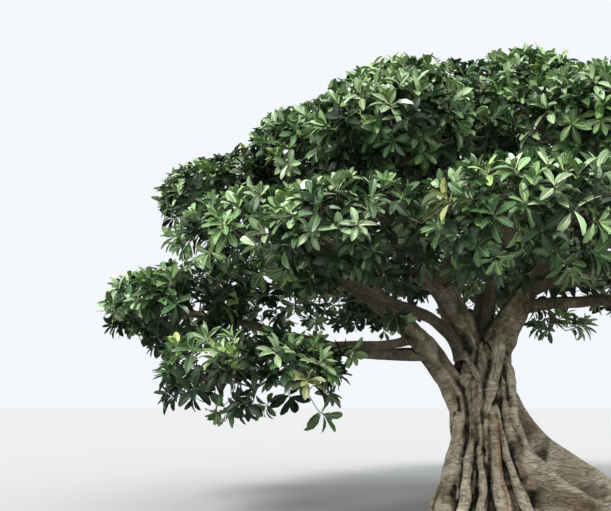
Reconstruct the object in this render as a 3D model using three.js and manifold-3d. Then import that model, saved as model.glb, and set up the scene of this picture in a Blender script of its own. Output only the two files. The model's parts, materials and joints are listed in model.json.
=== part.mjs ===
// A Mysore fig that stands alone on open ground: a short fluted trunk with spreading root fins, boughs that
// fork low and reach wide, and a broad crown of leafy masses. Millimetres, +Z up, +X to the right of the
// usual view. The origin is the middle of the flat cut under the trunk, at ground level.
import * as THREE from "three";
import { mergeVertices } from "three/addons/utils/BufferGeometryUtils.js";
import Module from "manifold-3d";

const wasm = await Module();
wasm.setup();

// Driving sizes of the trunk
const WAIST = 400; // radius of the plain column between its fins
const FORK = 2260; // height where the column has become stems
const SHOULDER = 1560; // height where it starts to round over
const FOOT_SWELL = 90; // how much the column widens at the ground
const SWELL_HEIGHT = 280;
const LEAN = -35; // how far the column's middle moves along X by the fork
const FLUTE = 1.08; // reach of a fin above its own height, as a share of the column's radius
const FIN_SHARPNESS = 7; // how crisply a fin stands off the column
const FIN_ROUNDING = 3; // how round a fin's ridge is
const FIN_FALL = 1.45; // the usual hollow of a ridge's slope

// Root fins: compass angle in degrees from +X, its turn on the way out, reach at the ground, height of the
// ridge's start, half width, and how hollow its slope is where that isn't usual
const FINS = [
  { angle: 10, turn: 3, reach: 2700, height: 1750, half: 125, fall: 2 },
  { angle: 314, turn: 15, reach: 1680, height: 1160, half: 125 },
  { angle: 230, turn: 4, reach: 850, height: 1180, half: 270 },
  { angle: 178, turn: -6, reach: 820, height: 900, half: 180 },
  { angle: 116, turn: 12, reach: 1050, height: 1130, half: 125 },
  { angle: 80, turn: -8, reach: 1120, height: 900, half: 140 },
  { angle: 48, turn: 8, reach: 1460, height: 1240, half: 120 },
];

// Root cords that run down the front of the column: compass angle and height at the top and at the foot,
// radius at both, and how far the foot stands off the column
const ROOT_CORDS = [
  { top: [306, 2330], foot: [257, 1160], radius: [88, 66], off: 30 },
  { top: [270, 1480], foot: [286, -60], radius: [50, 112], off: 210 },
  { top: [260, 1220], foot: [257, 580], radius: [34, 30], off: 26 },
  { top: [249, 1240], foot: [248, 620], radius: [34, 34], off: 22 },
  { top: [252, 780], foot: [262, -60], radius: [44, 62], off: 120 },
  { top: [224, 2080], foot: [258, 1540], radius: [46, 34], off: 12 },
  { top: [232, 1000], foot: [240, -60], radius: [52, 78], off: 110 },
];

// Boughs, each ending where it enters the mass of the same name. root is a point in the trunk, or else on
// and at give the parent bough and the share along it. leave and arrive are compass angle and climb in
// degrees, girth is the radius at the root and at the tip, and bend is how long the curve keeps to its first
// direction.
const BOUGHS = {
  left_mid: { root: [-250, -60, 1250], leave: [182, 62], arrive: [192, 22], girth: [188, 62] },
  left_shoulder: { on: "left_mid", at: 0.6, leave: [160, 48], arrive: [176, 34], girth: [84, 42] },
  left_end: { on: "left_mid", at: 0.3, leave: [180, -5], arrive: [176, 12], girth: [90, 44] },
  left_hang: { on: "left_mid", at: 0.4, leave: [196, -22], arrive: [232, -24], girth: [62, 40] },
  left_drop: { on: "left_end", at: 0.5, leave: [200, -22], arrive: [204, -18], girth: [50, 32] },
  inner_left: { on: "left_mid", at: 0.5, leave: [140, 30], arrive: [150, 8], girth: [80, 42] },
  front_left: { root: [-340, -140, 1980], leave: [192, 72], arrive: [248, 35], girth: [92, 46], bend: 0.34 },
  upper_left: { root: [-80, 0, 1600], leave: [178, 78], arrive: [172, 40], girth: [228, 66] },
  front_mid: { on: "upper_left", at: 0.43, leave: [272, 30], arrive: [266, 6], girth: [104, 48] },
  upper_front_left: { on: "upper_left", at: 0.53, leave: [240, 62], arrive: [250, 34], girth: [92, 46] },
  upper_back_left: { on: "upper_left", at: 0.49, leave: [96, 52], arrive: [110, 34], girth: [98, 48] },
  back_left: { on: "upper_left", at: 0.4, leave: [130, 30], arrive: [128, 8], girth: [98, 46] },
  top_mid: { root: [30, 110, 1900], leave: [40, 84], arrive: [50, 76], girth: [92, 56] },
  top_left: { on: "top_mid", at: 0.4, leave: [160, 66], arrive: [150, 60], girth: [84, 46] },
  top_right: { root: [-30, -10, 1640], leave: [2, 70], arrive: [10, 58], girth: [228, 62] },
  upper_front_right: { on: "top_right", at: 0.54, leave: [268, 54], arrive: [262, 32], girth: [94, 46] },
  upper_back_right: { on: "top_right", at: 0.5, leave: [92, 50], arrive: [84, 34], girth: [96, 48] },
  front_right: { on: "top_right", at: 0.44, leave: [280, 26], arrive: [268, 4], girth: [98, 48] },
  far_front: { on: "top_right", at: 0.37, leave: [322, 18], arrive: [306, 8], girth: [92, 46] },
  right_shoulder: { on: "top_right", at: 0.47, leave: [2, 30], arrive: [4, 30], girth: [104, 48] },
  right_end: { on: "top_right", at: 0.3, leave: [352, 8], arrive: [4, 12], girth: [90, 48] },
  right_spur: { on: "right_end", at: 0.14, leave: [40, -40], arrive: [30, -50], girth: [28, 20] },
  right_back: { on: "top_right", at: 0.38, leave: [52, 20], arrive: [34, 12], girth: [96, 48] },
  back_right: { root: [-20, 200, 1880], leave: [86, 56], arrive: [76, 10], girth: [118, 50] },
};
const BEND = 0.38; // the usual bend, and how long a curve keeps to its last direction

// Leafy masses, each an ellipsoid: its middle, half width along X, half depth along Y, and how far it
// rises above and hangs below its middle
const MASSES = {
  left_end: { middle: [-4300, -50, 2680], wide: 1040, deep: 1250, up: 550, down: 630 },
  left_shoulder: { middle: [-3690, 350, 4400], wide: 1040, deep: 1250, up: 540, down: 640 },
  left_mid: { middle: [-3150, -1250, 3450], wide: 1080, deep: 980, up: 680, down: 540 },
  left_hang: { middle: [-2780, -1900, 1760], wide: 950, deep: 760, up: 540, down: 660 },
  left_drop: { middle: [-3750, -1200, 1720], wide: 610, deep: 640, up: 500, down: 550 },
  inner_left: { middle: [-3150, 1900, 3250], wide: 1200, deep: 1100, up: 660, down: 560 },
  front_left: { middle: [-2000, -2700, 3250], wide: 1100, deep: 1050, up: 680, down: 560 },
  upper_left: { middle: [-2380, 150, 4940], wide: 1120, deep: 1350, up: 720, down: 660 },
  front_mid: { middle: [-350, -3400, 3250], wide: 1120, deep: 1080, up: 700, down: 600 },
  upper_front_left: { middle: [-1350, -1850, 4700], wide: 1250, deep: 1080, up: 740, down: 580 },
  upper_back_left: { middle: [-1300, 2050, 4750], wide: 1350, deep: 1200, up: 820, down: 640 },
  back_left: { middle: [-1650, 3450, 3500], wide: 1350, deep: 1100, up: 780, down: 660 },
  top_mid: { middle: [650, 250, 5680], wide: 1200, deep: 1450, up: 840, down: 600 },
  top_left: { middle: [-1020, 300, 5600], wide: 1300, deep: 1400, up: 840, down: 620 },
  top_right: { middle: [2300, 250, 5400], wide: 1250, deep: 1400, up: 840, down: 620 },
  upper_front_right: { middle: [1150, -1950, 4760], wide: 1300, deep: 1100, up: 760, down: 600 },
  upper_back_right: { middle: [1300, 2250, 4780], wide: 1350, deep: 1200, up: 820, down: 640 },
  front_right: { middle: [1350, -3250, 3420], wide: 1150, deep: 1080, up: 720, down: 600 },
  far_front: { middle: [2950, -2300, 3450], wide: 1150, deep: 1150, up: 800, down: 680 },
  right_shoulder: { middle: [3550, 50, 4440], wide: 1200, deep: 1350, up: 820, down: 640 },
  right_end: { middle: [4300, -250, 3080], wide: 1100, deep: 1300, up: 760, down: 660 },
  right_spur: { middle: [1120, 260, 2450], wide: 380, deep: 360, up: 240, down: 300 },
  right_back: { middle: [3200, 2150, 3500], wide: 1300, deep: 1250, up: 820, down: 680 },
  back_right: { middle: [900, 3550, 3560], wide: 1350, deep: 1100, up: 780, down: 660 },
};

// Growth of a mass
const SHOOTS_EVERY = 1190; // spacing of leafy shoots over its skin
const FEWEST_SHOOTS = 5;
const SHOOT_DEPTH = [380, 560]; // how far below the skin its shoots lie
const UNDERSIDE = 0.7; // share of the lower half that bears shoots
const LEAVES_PER_SHOOT = 4;
const LEAF = { long: 820, wide: 450, thick: 26 }; // each stands for a spray of real leaves
const LEAF_SIZES = [1, 0.85, 0.7]; // a leaf that doesn't fit is tried again smaller
const SPLAY = 66; // degrees between a leaf and its shoot's axis
const LIFT = 0.35; // how far a shoot's axis turns up from the skin's normal
const DROOP = 0.06; // how far a leaf's tip hangs, as a share of its length
const BROADEST = 0.56; // where along itself a leaf is broadest
const LEAF_STEP = 26; // distance between leaves along the shoot
const TWIG_TIP = 15; // radius of a twig at its last shoot
const TWIG_POWER = 0.42; // how fast a twig thickens with the shoots it bears
const PATH_WEIGHT = 0.45; // how much a long way back to the stem counts when a shoot picks its twig
const STEM_INTO_MASS = 0.55; // where the stem ends between its bough's tip and the middle
const TIP_AT = 0.74; // where a bough's tip lies between a mass's middle and its skin
const OWN_SPACE = 1.05; // how far leaves may pass the skin, as a share of the mass

// Clear spaces
const GAP = 0.3; // between two solids that meet face to face
const NEIGHBOUR_GAP = 30; // between leaves of two masses
const LIMB_GAP = 26; // between leaves or boughs and any other limb

const V = (x, y, z) => new THREE.Vector3(x, y, z);
const radians = THREE.MathUtils.degToRad;
const degrees = THREE.MathUtils.radToDeg;
const mix = THREE.MathUtils.lerp;

// Unit vector from a compass angle and a climb
function heading(angle, climb) {
  const level = Math.cos(radians(climb));
  return V(Math.cos(radians(angle)) * level, Math.sin(radians(angle)) * level, Math.sin(radians(climb)));
}

// A solid from three.js geometry
function solid(geometry) {
  geometry.deleteAttribute("normal");
  geometry.deleteAttribute("uv");
  const merged = mergeVertices(geometry, 1e-3);
  return new wasm.Manifold(
    new wasm.Mesh({
      numProp: 3,
      vertProperties: Float32Array.from(merged.attributes.position.array),
      triVerts: Uint32Array.from(merged.index.array),
    }),
  );
}

// The largest body of a solid as three.js geometry, so that a loose scrap is dropped
function geometryOf(made) {
  const [largest] = made.decompose().sort((a, b) => b.volume() - a.volume());
  const mesh = largest.getMesh();
  return new THREE.BufferGeometry()
    .setAttribute("position", new THREE.BufferAttribute(Float32Array.from(mesh.vertProperties), 3))
    .setIndex(new THREE.BufferAttribute(Uint32Array.from(mesh.triVerts), 1));
}

// Moves every vertex of a geometry to where `place` says
function reshape(geometry, place) {
  const position = geometry.attributes.position;
  for (let i = 0; i < position.count; i++) {
    const at = place(position.getX(i), position.getY(i), position.getZ(i));
    position.setXYZ(i, at.x, at.y, at.z);
  }
  return geometry;
}

// A cylinder whose rings are laid along a curve between two shares of its length
const FRAMES = 64;

function bentTube(curve, radiusAt, { sides, steps, from = 0, to = 1 }) {
  const { normals, binormals } = curve.computeFrenetFrames(FRAMES, false);
  return reshape(new THREE.CylinderGeometry(1, 1, 1, sides, steps), (x, y, z) => {
    const share = mix(from, to, y + 0.5);
    const nearest = Math.round(share * FRAMES);
    const at = curve.getPointAt(share);
    at.addScaledVector(normals[nearest], z * radiusAt(share));
    return at.addScaledVector(binormals[nearest], x * radiusAt(share));
  });
}

// Trunk: a column whose outline at each height is its plain radius joined with the fins around it
function finReach(fin, height) {
  const column = WAIST * FLUTE;
  if (height >= fin.height) return column;
  return column + (fin.reach - column) * (1 - height / fin.height) ** (fin.fall ?? FIN_FALL);
}

function finnedRadius(angle, height) {
  const above = Math.max(height, 0);
  const column = WAIST + FOOT_SWELL * Math.exp(-above / SWELL_HEIGHT);
  let sum = column ** FIN_SHARPNESS;
  for (const fin of FINS) {
    const outward = Math.max(1 - above / fin.height, 0);
    const off = angle - radians(fin.angle + fin.turn * outward);
    if (Math.cos(off) <= 0) continue;
    const lengthwise = finReach(fin, above) ** -FIN_ROUNDING;
    const sideways = (Math.abs(Math.sin(off)) / fin.half) ** FIN_ROUNDING;
    sum += (lengthwise + sideways) ** (-FIN_SHARPNESS / FIN_ROUNDING);
  }
  return sum ** (1 / FIN_SHARPNESS);
}

function trunkRadius(angle, height) {
  const rise = Math.max((Math.min(height, FORK) - SHOULDER) / (FORK - SHOULDER), 0);
  return finnedRadius(angle, height) * Math.sqrt(Math.max(1 - rise ** 2, 0.02));
}

const trunkMiddle = (height) => V(LEAN * (Math.max(height, 0) / FORK), 0, height);

const beside = (angle, height, out) => trunkMiddle(height).addScaledVector(heading(angle, 0), out);

function trunkColumn() {
  const LOW_RINGS = 1.35; // rings lie closer together near the ground
  return reshape(new THREE.CylinderGeometry(1, 1, 1, 40, 9), (x, y, z) => {
    const height = FORK * (y + 0.5) ** LOW_RINGS;
    const onAxis = Math.hypot(x, z) < 0.5;
    const angle = Math.atan2(x, z);
    return onAxis ? trunkMiddle(height) : beside(degrees(angle), height, trunkRadius(angle, height));
  });
}

function rootCord({ top, foot, radius, off }) {
  const STRETCHES = 5;
  const points = [];
  for (let k = 0; k <= STRETCHES; k++) {
    const share = k / STRETCHES;
    const standing = k === 0 ? -radius[0] : off * share ** 2;
    const angle = mix(top[0], foot[0], share ** 0.8);
    const height = mix(top[1], foot[1], share);
    points.push(beside(angle, height, finnedRadius(radians(angle), height) + standing));
  }
  const girth = (share) => mix(radius[0], radius[1], share ** 1.5);
  return bentTube(new THREE.CatmullRomCurve3(points), girth, { sides: 6, steps: 6 });
}

function insideTrunk(point, margin) {
  if (point.z > FORK + margin) return false;
  const off = point.clone().sub(trunkMiddle(point.z));
  return Math.hypot(off.x, off.y) < trunkRadius(Math.atan2(off.y, off.x), point.z) + margin;
}

// Boughs: one cubic curve each, from inside its parent to the skin of its mass
const SAMPLES = 192; // places along a bough where its distance to other things is tested

function tipOf(name) {
  const mass = MASSES[name];
  const back = heading(...BOUGHS[name].arrive).negate();
  const high = back.z > 0 ? mass.up : mass.down;
  const skin = 1 / Math.hypot(back.x / mass.wide, back.y / mass.deep, back.z / high);
  return V(...mass.middle).addScaledVector(back, TIP_AT * skin);
}

function layBough(name, row, parent) {
  const root = parent ? parent.curve.getPointAt(row.at) : V(...row.root);
  const tip = tipOf(name);
  const span = root.distanceTo(tip);
  const first = root.clone().addScaledVector(heading(...row.leave), (row.bend ?? BEND) * span);
  const last = tip.clone().addScaledVector(heading(...row.arrive), -BEND * span);
  const curve = new THREE.CubicBezierCurve3(root, first, last, tip);
  const length = curve.getLength();
  const [thick, thin] = row.girth;
  const radiusAt = (share) => {
    const flare = 0.35 * thick * Math.exp((-share * length) / (1.6 * thick));
    return thin + (thick - thin) * (1 - share) ** 0.9 + flare;
  };
  const samples = curve.getSpacedPoints(SAMPLES);
  return { name, curve, length, radiusAt, samples, parent: row.on, sides: parent ? 7 : 9 };
}

const limbs = new Map();
for (const [name, row] of Object.entries(BOUGHS)) {
  limbs.set(name, layBough(name, row, limbs.get(row.on)));
}

// How far a point is from a limb's surface
function distanceToLimb(point, limb) {
  const STRIDE = 4;
  let nearest = Infinity;
  for (let k = 0; k <= SAMPLES; k += STRIDE) {
    nearest = Math.min(nearest, limb.samples[k].distanceTo(point) - limb.radiusAt(k / SAMPLES));
  }
  return nearest;
}

// The share of a bough that is fused to its parent as a collar: up to where it stands clear of the parent
// and of every other bough that starts there
function collarOf(limb) {
  const rivals = [...limbs.values()].filter(
    (other) => other !== limb && (other.name === limb.parent || other.parent === limb.parent),
  );
  for (let k = 1; k < SAMPLES; k++) {
    const at = limb.samples[k];
    const own = limb.radiusAt(k / SAMPLES);
    const inTrunk = !limb.parent && insideTrunk(at, own);
    if (!inTrunk && rivals.every((other) => distanceToLimb(at, other) > own + LIMB_GAP)) return k / SAMPLES;
  }
  throw new Error(limb.name + " never stands clear of its parent");
}

for (const limb of limbs.values()) limb.collar = collarOf(limb);

function tubeOf(limb, steps, from, to) {
  return solid(bentTube(limb.curve, limb.radiusAt, { sides: limb.sides, steps, from, to }));
}

function collarsOn(parent) {
  const children = [...limbs.values()].filter((limb) => limb.parent === parent);
  return children.map((limb) => tubeOf(limb, 2, 0, limb.collar));
}

function boughSolid(limb) {
  const RING_EVERY = 560;
  const from = limb.collar + GAP / limb.length;
  const steps = Math.max(3, Math.round((limb.length * (1 - from)) / RING_EVERY));
  return wasm.Manifold.union([tubeOf(limb, steps, from, 1), ...collarsOn(limb.name)]);
}

function trunkSolid() {
  const cords = ROOT_CORDS.map((row) => solid(rootCord(row)));
  const whole = wasm.Manifold.union([solid(trunkColumn()), ...cords, ...collarsOn(undefined)]);
  return whole.trimByPlane([0, 0, 1], 0);
}

// Space of a mass: its own ellipsoid, on its own side of the walls between it and its neighbours
function levelIn(mass, point) {
  const high = point.z > mass.middle[2] ? mass.up : mass.down;
  const off = point.clone().sub(V(...mass.middle));
  return Math.hypot(off.x / mass.wide, off.y / mass.deep, off.z / high);
}

function onOwnSide(name, point) {
  const mass = MASSES[name];
  const middle = V(...mass.middle);
  return Object.entries(MASSES).every(([other, row]) => {
    if (other === name) return true;
    const far = V(...row.middle);
    const lead = far.distanceToSquared(point) - middle.distanceToSquared(point);
    const fair = row.wide * row.deep - mass.wide * mass.deep;
    return (lead - fair) / (2 * middle.distanceTo(far)) > NEIGHBOUR_GAP / 2;
  });
}

// Stem of a mass: it meets its bough's tip and runs on towards the middle
const stems = new Map();
for (const [name, limb] of limbs) {
  const tip = limb.curve.getPointAt(1);
  const along = limb.curve.getTangentAt(1);
  const radius = limb.radiusAt(1);
  const start = tip.clone().addScaledVector(along, GAP);
  const knee = start.clone().addScaledVector(along, 2.2 * radius);
  const end = tip.clone().lerp(V(...MASSES[name].middle), STEM_INTO_MASS);
  stems.set(name, { start, knee, end, radius });
}

function clearOfWood(name, point, half) {
  if (insideTrunk(point, half + LIMB_GAP)) return false;
  for (const limb of limbs.values()) {
    if (distanceToLimb(point, limb) < half + LIMB_GAP) return false;
  }
  for (const [other, stem] of stems) {
    const nearest = new THREE.Line3(stem.start, stem.end).closestPointToPoint(point, true, V(0, 0, 0));
    if (other !== name && nearest.distanceTo(point) - stem.radius < half + LIMB_GAP) return false;
  }
  return true;
}

// Shoots of a mass: places spread evenly under its skin by a seeded sequence, the largest gaps first
const SEQUENCE_STEPS = [0.8191725134, 0.6710436067, 0.5497004779];
const fraction = (value) => value - Math.floor(value);

function shootPlaces(name, order) {
  const mass = MASSES[name];
  const belt = Math.PI * (mass.wide + mass.deep) * (mass.up + mass.down) * 0.5;
  const skin = Math.PI * mass.wide * mass.deep + belt;
  const wanted = Math.max(FEWEST_SHOOTS, Math.round((0.8 * skin) / SHOOTS_EVERY ** 2));
  const seed = fraction((order + 1) * Math.SQRT2);
  const places = [];
  for (let n = 1; n < wanted * 8 && places.length < wanted; n++) {
    const [turn, drop, depth] = SEQUENCE_STEPS.map((step, k) => fraction(seed * (k + 1) + n * step));
    const height = 1 - drop * (1 + UNDERSIDE);
    const ring = Math.sqrt(Math.max(1 - height ** 2, 0));
    const reach = V(
      mass.wide * ring * Math.cos(turn * 2 * Math.PI),
      mass.deep * ring * Math.sin(turn * 2 * Math.PI),
      (height > 0 ? mass.up : mass.down) * height,
    );
    const below = mix(...SHOOT_DEPTH, depth) * smallness(mass);
    reach.setLength(Math.max(reach.length() - below, 0.2 * reach.length()));
    const at = reach.add(V(...mass.middle));
    if (onOwnSide(name, at)) places.push({ at, turn });
  }
  return places;
}

// A small mass has smaller leaves, and its shoots lie nearer to its skin
const smallness = (mass) => Math.min(1, (mass.wide + mass.deep + mass.up) / 2200);

// Wood of a mass: each shoot joins the twig that is near and has a short way back to the stem
function growWood(name, places) {
  const stem = stems.get(name);
  const wood = [{ at: stem.start, path: 0, parent: null, load: 0 }];
  const grow = (from, at) => {
    const node = { at, path: from.path + at.distanceTo(from.at), parent: from, load: 0 };
    wood.push(node);
    return node;
  };
  const knee = grow(wood[0], stem.knee);
  grow(knee, stem.end);
  const shoots = [];
  for (const { at, turn } of places) {
    const cost = (node) => node.at.distanceTo(at) + PATH_WEIGHT * node.path;
    const from = wood.slice(1).reduce((best, node) => (cost(node) < cost(best) ? node : best));
    const middle = from.at.clone().lerp(at, 0.5);
    if (!clearOfWood(name, middle, TWIG_TIP) || !clearOfWood(name, at, TWIG_TIP)) continue;
    const node = grow(from, at);
    shoots.push({ node, turn });
    for (let below = node; below; below = below.parent) below.load += 1;
  }
  return { wood, shoots };
}

// A three-sided tapering twig from one point to another
function twig(from, to, thick, thin) {
  const along = to.clone().sub(from);
  const length = along.length();
  const corners = [0, 120, 240].map((angle) => new THREE.Vector2(heading(angle, 0).x, heading(angle, 0).y));
  const prism = new THREE.ExtrudeGeometry(new THREE.Shape(corners), { depth: length, bevelEnabled: false });
  reshape(prism, (x, y, z) => {
    const radius = z > length / 2 ? thin : thick;
    return V(x * radius, y * radius, z);
  });
  prism.applyQuaternion(new THREE.Quaternion().setFromUnitVectors(V(0, 0, 1), along.normalize()));
  return prism.translate(from.x, from.y, from.z);
}

function twigSolids(wood, stem) {
  const radiusOf = (node) => Math.min(TWIG_TIP * Math.max(node.load, 1) ** TWIG_POWER, stem.radius);
  return wood.slice(1).map((node) => {
    const base = node.parent;
    if (!base.parent) return solid(twig(base.at, node.at, stem.radius * 0.92, stem.radius * 0.86));
    const back = base.parent.at.clone().sub(base.at).normalize();
    const sunk = base.at.clone().addScaledVector(back, radiusOf(base) * 1.1);
    return solid(twig(sunk, node.at, radiusOf(node) * 0.98, radiusOf(node) * 0.9));
  });
}

// Leaves: each is a thin eight-sided blade with its flat side towards its shoot's axis
function leafFrame(root, out, axis) {
  const side = axis.clone().cross(out).normalize();
  const face = out.clone().cross(side).normalize();
  return (along, across, lift) =>
    root.clone().addScaledVector(out, along).addScaledVector(side, across).addScaledVector(face, lift);
}

function leafBlade(frame, long, wide, thick) {
  return reshape(new THREE.OctahedronGeometry(1), (x, y, z) => {
    const along = Math.abs(z) < 0.5 ? BROADEST : (z + 1) / 2;
    const droop = z > 0.5 ? DROOP * long : 0;
    return frame(along * long, (x * wide) / 2, (y * thick) / 2 - droop);
  });
}

function leafFits(name, frame, long, wide) {
  const corners = [
    frame(0, 0, 0),
    frame(long, 0, 0),
    frame(BROADEST * long, wide / 2, 0),
    frame(BROADEST * long, -wide / 2, 0),
  ];
  const inSpace = corners.every((at) => onOwnSide(name, at) && levelIn(MASSES[name], at) < OWN_SPACE);
  return inSpace && [0.2, 0.4, 0.6, 0.8, 1].every((share) => {
    const half = (share < BROADEST ? share / BROADEST : (1 - share) / (1 - BROADEST)) * (wide / 2);
    return clearOfWood(name, frame(share * long, 0, 0), half);
  });
}

// The outward normal of a mass's skin near a point, turned up a little
function shootAxis(mass, at) {
  const off = at.clone().sub(V(...mass.middle));
  const high = off.z > 0 ? mass.up : mass.down;
  const normal = V(off.x / mass.wide ** 2, off.y / mass.deep ** 2, off.z / high ** 2).normalize();
  return normal.add(V(0, 0, LIFT)).normalize();
}

function leavesOnShoot(name, { node, turn }, grown) {
  const mass = MASSES[name];
  const axis = shootAxis(mass, node.at);
  const across = axis.clone().cross(V(0.3, 0.2, 1)).normalize();
  const back = node.at.clone().sub(node.parent.at).normalize().negate();
  for (let k = 0; k < LEAVES_PER_SHOOT; k++) {
    const sideways = across.clone().applyAxisAngle(axis, (turn + k / LEAVES_PER_SHOOT) * 2 * Math.PI);
    const out = axis.clone().multiplyScalar(Math.cos(radians(SPLAY)));
    out.addScaledVector(sideways, Math.sin(radians(SPLAY)));
    const root = node.at.clone().addScaledVector(back, (k + 0.4) * LEAF_STEP);
    const frame = leafFrame(root, out, axis);
    const sizes = LEAF_SIZES.map((size) => size * smallness(mass));
    const size = sizes.find((each) => leafFits(name, frame, each * LEAF.long, each * LEAF.wide));
    if (!size) continue;
    const blade = solid(leafBlade(frame, size * LEAF.long, size * LEAF.wide, LEAF.thick));
    const crosses = grown.some((other) => !other.intersect(blade).isEmpty());
    if (!crosses) grown.push(blade);
  }
}

function massSolid(name, order) {
  const { wood, shoots } = growWood(name, shootPlaces(name, order));
  const leaves = [];
  for (const shoot of shoots) leavesOnShoot(name, shoot, leaves);
  return wasm.Manifold.union([...twigSolids(wood, stems.get(name)), ...leaves]);
}

const bark = new THREE.MeshStandardMaterial({ color: 0x8a7c69, roughness: 0.9, metalness: 0 });
const foliage = new THREE.MeshStandardMaterial({ color: 0x3f5e33, roughness: 0.5, metalness: 0 });

function named(name, made, material) {
  const mesh = new THREE.Mesh(geometryOf(made), material);
  mesh.name = name;
  return mesh;
}

const tree = new THREE.Group();
tree.add(named("trunk", trunkSolid(), bark));
for (const limb of limbs.values()) tree.add(named("bough_" + limb.name, boughSolid(limb), bark));
Object.keys(MASSES).forEach((name, order) => {
  tree.add(named("leaves_" + name, massSolid(name, order), foliage));
});

export default tree;
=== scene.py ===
from contextlib import contextmanager
import json
import math

import bpy
import numpy as np
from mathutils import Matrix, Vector
from mathutils.kdtree import KDTree

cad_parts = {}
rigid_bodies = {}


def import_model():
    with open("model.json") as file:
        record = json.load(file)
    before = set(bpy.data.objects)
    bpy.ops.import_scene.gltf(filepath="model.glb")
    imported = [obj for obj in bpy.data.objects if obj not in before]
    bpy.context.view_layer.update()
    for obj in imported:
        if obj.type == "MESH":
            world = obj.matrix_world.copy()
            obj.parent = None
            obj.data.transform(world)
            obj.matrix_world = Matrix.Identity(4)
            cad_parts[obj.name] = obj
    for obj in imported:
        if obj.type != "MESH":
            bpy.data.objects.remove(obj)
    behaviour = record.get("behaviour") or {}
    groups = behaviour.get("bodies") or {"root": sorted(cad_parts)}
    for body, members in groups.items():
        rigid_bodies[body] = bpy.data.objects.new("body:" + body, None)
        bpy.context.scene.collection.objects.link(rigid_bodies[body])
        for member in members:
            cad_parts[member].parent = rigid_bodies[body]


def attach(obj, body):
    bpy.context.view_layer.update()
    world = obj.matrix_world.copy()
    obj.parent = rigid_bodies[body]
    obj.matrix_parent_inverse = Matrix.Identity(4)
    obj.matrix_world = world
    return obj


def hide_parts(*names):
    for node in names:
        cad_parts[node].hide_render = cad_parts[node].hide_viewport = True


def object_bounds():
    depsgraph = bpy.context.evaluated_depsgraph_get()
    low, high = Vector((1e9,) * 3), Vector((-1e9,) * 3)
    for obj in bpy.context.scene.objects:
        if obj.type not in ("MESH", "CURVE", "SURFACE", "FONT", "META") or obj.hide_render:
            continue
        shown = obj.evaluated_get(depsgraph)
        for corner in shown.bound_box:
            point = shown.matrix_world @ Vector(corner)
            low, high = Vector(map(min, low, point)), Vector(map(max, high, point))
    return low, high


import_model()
cad_low, cad_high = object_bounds()

# Driving sizes of the trunk
WAIST = 0.400  # radius of the plain column between its fins
FORK = 2.260  # height where the column has become stems
SHOULDER = 1.560  # height where it starts to round over
FOOT_SWELL = 0.090
SWELL_HEIGHT = 0.280
LEAN = -0.035  # how far the column's middle moves along X by the fork
FLUTE = 1.08  # reach of a fin above its own height, as a share of the column's radius
FIN_SHARPNESS = 7
FIN_ROUNDING = 3
FIN_FALL = 1.45
BURIED = 0.12  # how far the wood is made below the ground before the flat cut

# Root fins: compass angle, its turn on the way out, reach at the ground, height where the ridge starts, half
# width, how much the ridge winds from side to side in degrees, and its fall where that isn't usual
FINS = [
    {"angle": 10, "turn": 3, "reach": 2.700, "height": 1.750, "half": 0.125, "wind": 1.0, "fall": 2.0},
    {"angle": 314, "turn": 15, "reach": 1.680, "height": 1.160, "half": 0.125, "wind": 3.4},
    {"angle": 230, "turn": 4, "reach": 0.850, "height": 1.180, "half": 0.270, "wind": 2.0},
    {"angle": 178, "turn": -6, "reach": 0.820, "height": 0.900, "half": 0.180, "wind": 2.0},
    {"angle": 116, "turn": 12, "reach": 1.050, "height": 1.130, "half": 0.125, "wind": 3.0},
    {"angle": 80, "turn": -8, "reach": 1.120, "height": 0.900, "half": 0.140, "wind": 3.0},
    {"angle": 48, "turn": 8, "reach": 1.460, "height": 1.240, "half": 0.120, "wind": 2.6},
]

UNDER = -0.06  # height of a cord's foot that runs into the ground


# Root cords that run down the column: compass angle and height at the top and at the foot, radius at both,
# and how far the foot stands off the column
def cord(top, foot, radius, off):
    return {"top": top, "foot": foot, "radius": radius, "off": off}


ROOT_CORDS = [
    cord((306, 2.33), (257, 1.16), (0.088, 0.066), 0.03),
    cord((270, 1.48), (273, UNDER), (0.05, 0.112), 0.21),
    cord((260, 1.22), (257, 0.58), (0.034, 0.03), 0.026),
    cord((249, 1.24), (248, 0.62), (0.034, 0.034), 0.022),
    cord((249, 0.78), (252, UNDER), (0.044, 0.062), 0.12),
    cord((224, 2.08), (258, 1.54), (0.046, 0.034), 0.012),
    cord((234, 1.0), (236, UNDER), (0.052, 0.078), 0.11),
]

# Finer cords that only show close by, in the same terms
FINE_CORDS = [
    cord((231, 1.96), (260, 1.6), (0.024, 0.022), 0.026),
    cord((281, 1.4), (288, 0.6), (0.034, 0.028), 0.01),
    cord((310, 1.95), (319, 0.7), (0.06, 0.07), 0.0),
    cord((285, 1.15), (305, UNDER), (0.044, 0.08), 0.24),
    cord((342, 1.9), (352, 0.3), (0.04, 0.05), 0.02),
    cord((212, 1.35), (208, UNDER), (0.09, 0.2), 0.17),
    cord((30, 1.85), (36, UNDER), (0.05, 0.06), 0.06),
    cord((62, 1.7), (68, UNDER), (0.04, 0.07), 0.09),
    cord((98, 1.6), (96, UNDER), (0.05, 0.08), 0.11),
    cord((140, 1.7), (148, UNDER), (0.044, 0.07), 0.08),
]

# Dark recesses between the roots: compass angle, half width in degrees, depth and height where each starts
RECESSES = [
    {"angle": 244, "width": 7, "depth": 0.090, "top": 0.900},
    {"angle": 291, "width": 6, "depth": 0.080, "top": 1.500},
    {"angle": 226, "width": 3, "depth": 0.060, "top": 1.300},
    {"angle": 150, "width": 10, "depth": 0.090, "top": 1.000},
    {"angle": 64, "width": 6, "depth": 0.080, "top": 1.100},
]

# Where the column's foot is broad and smooth instead of fluted: compass angle and half width in degrees
SMOOTH_ROOT = {"angle": 206, "width": 24, "top": 1.900}

BEND = 0.38  # how long a curve keeps to its first and last direction, as a share of its span


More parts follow.
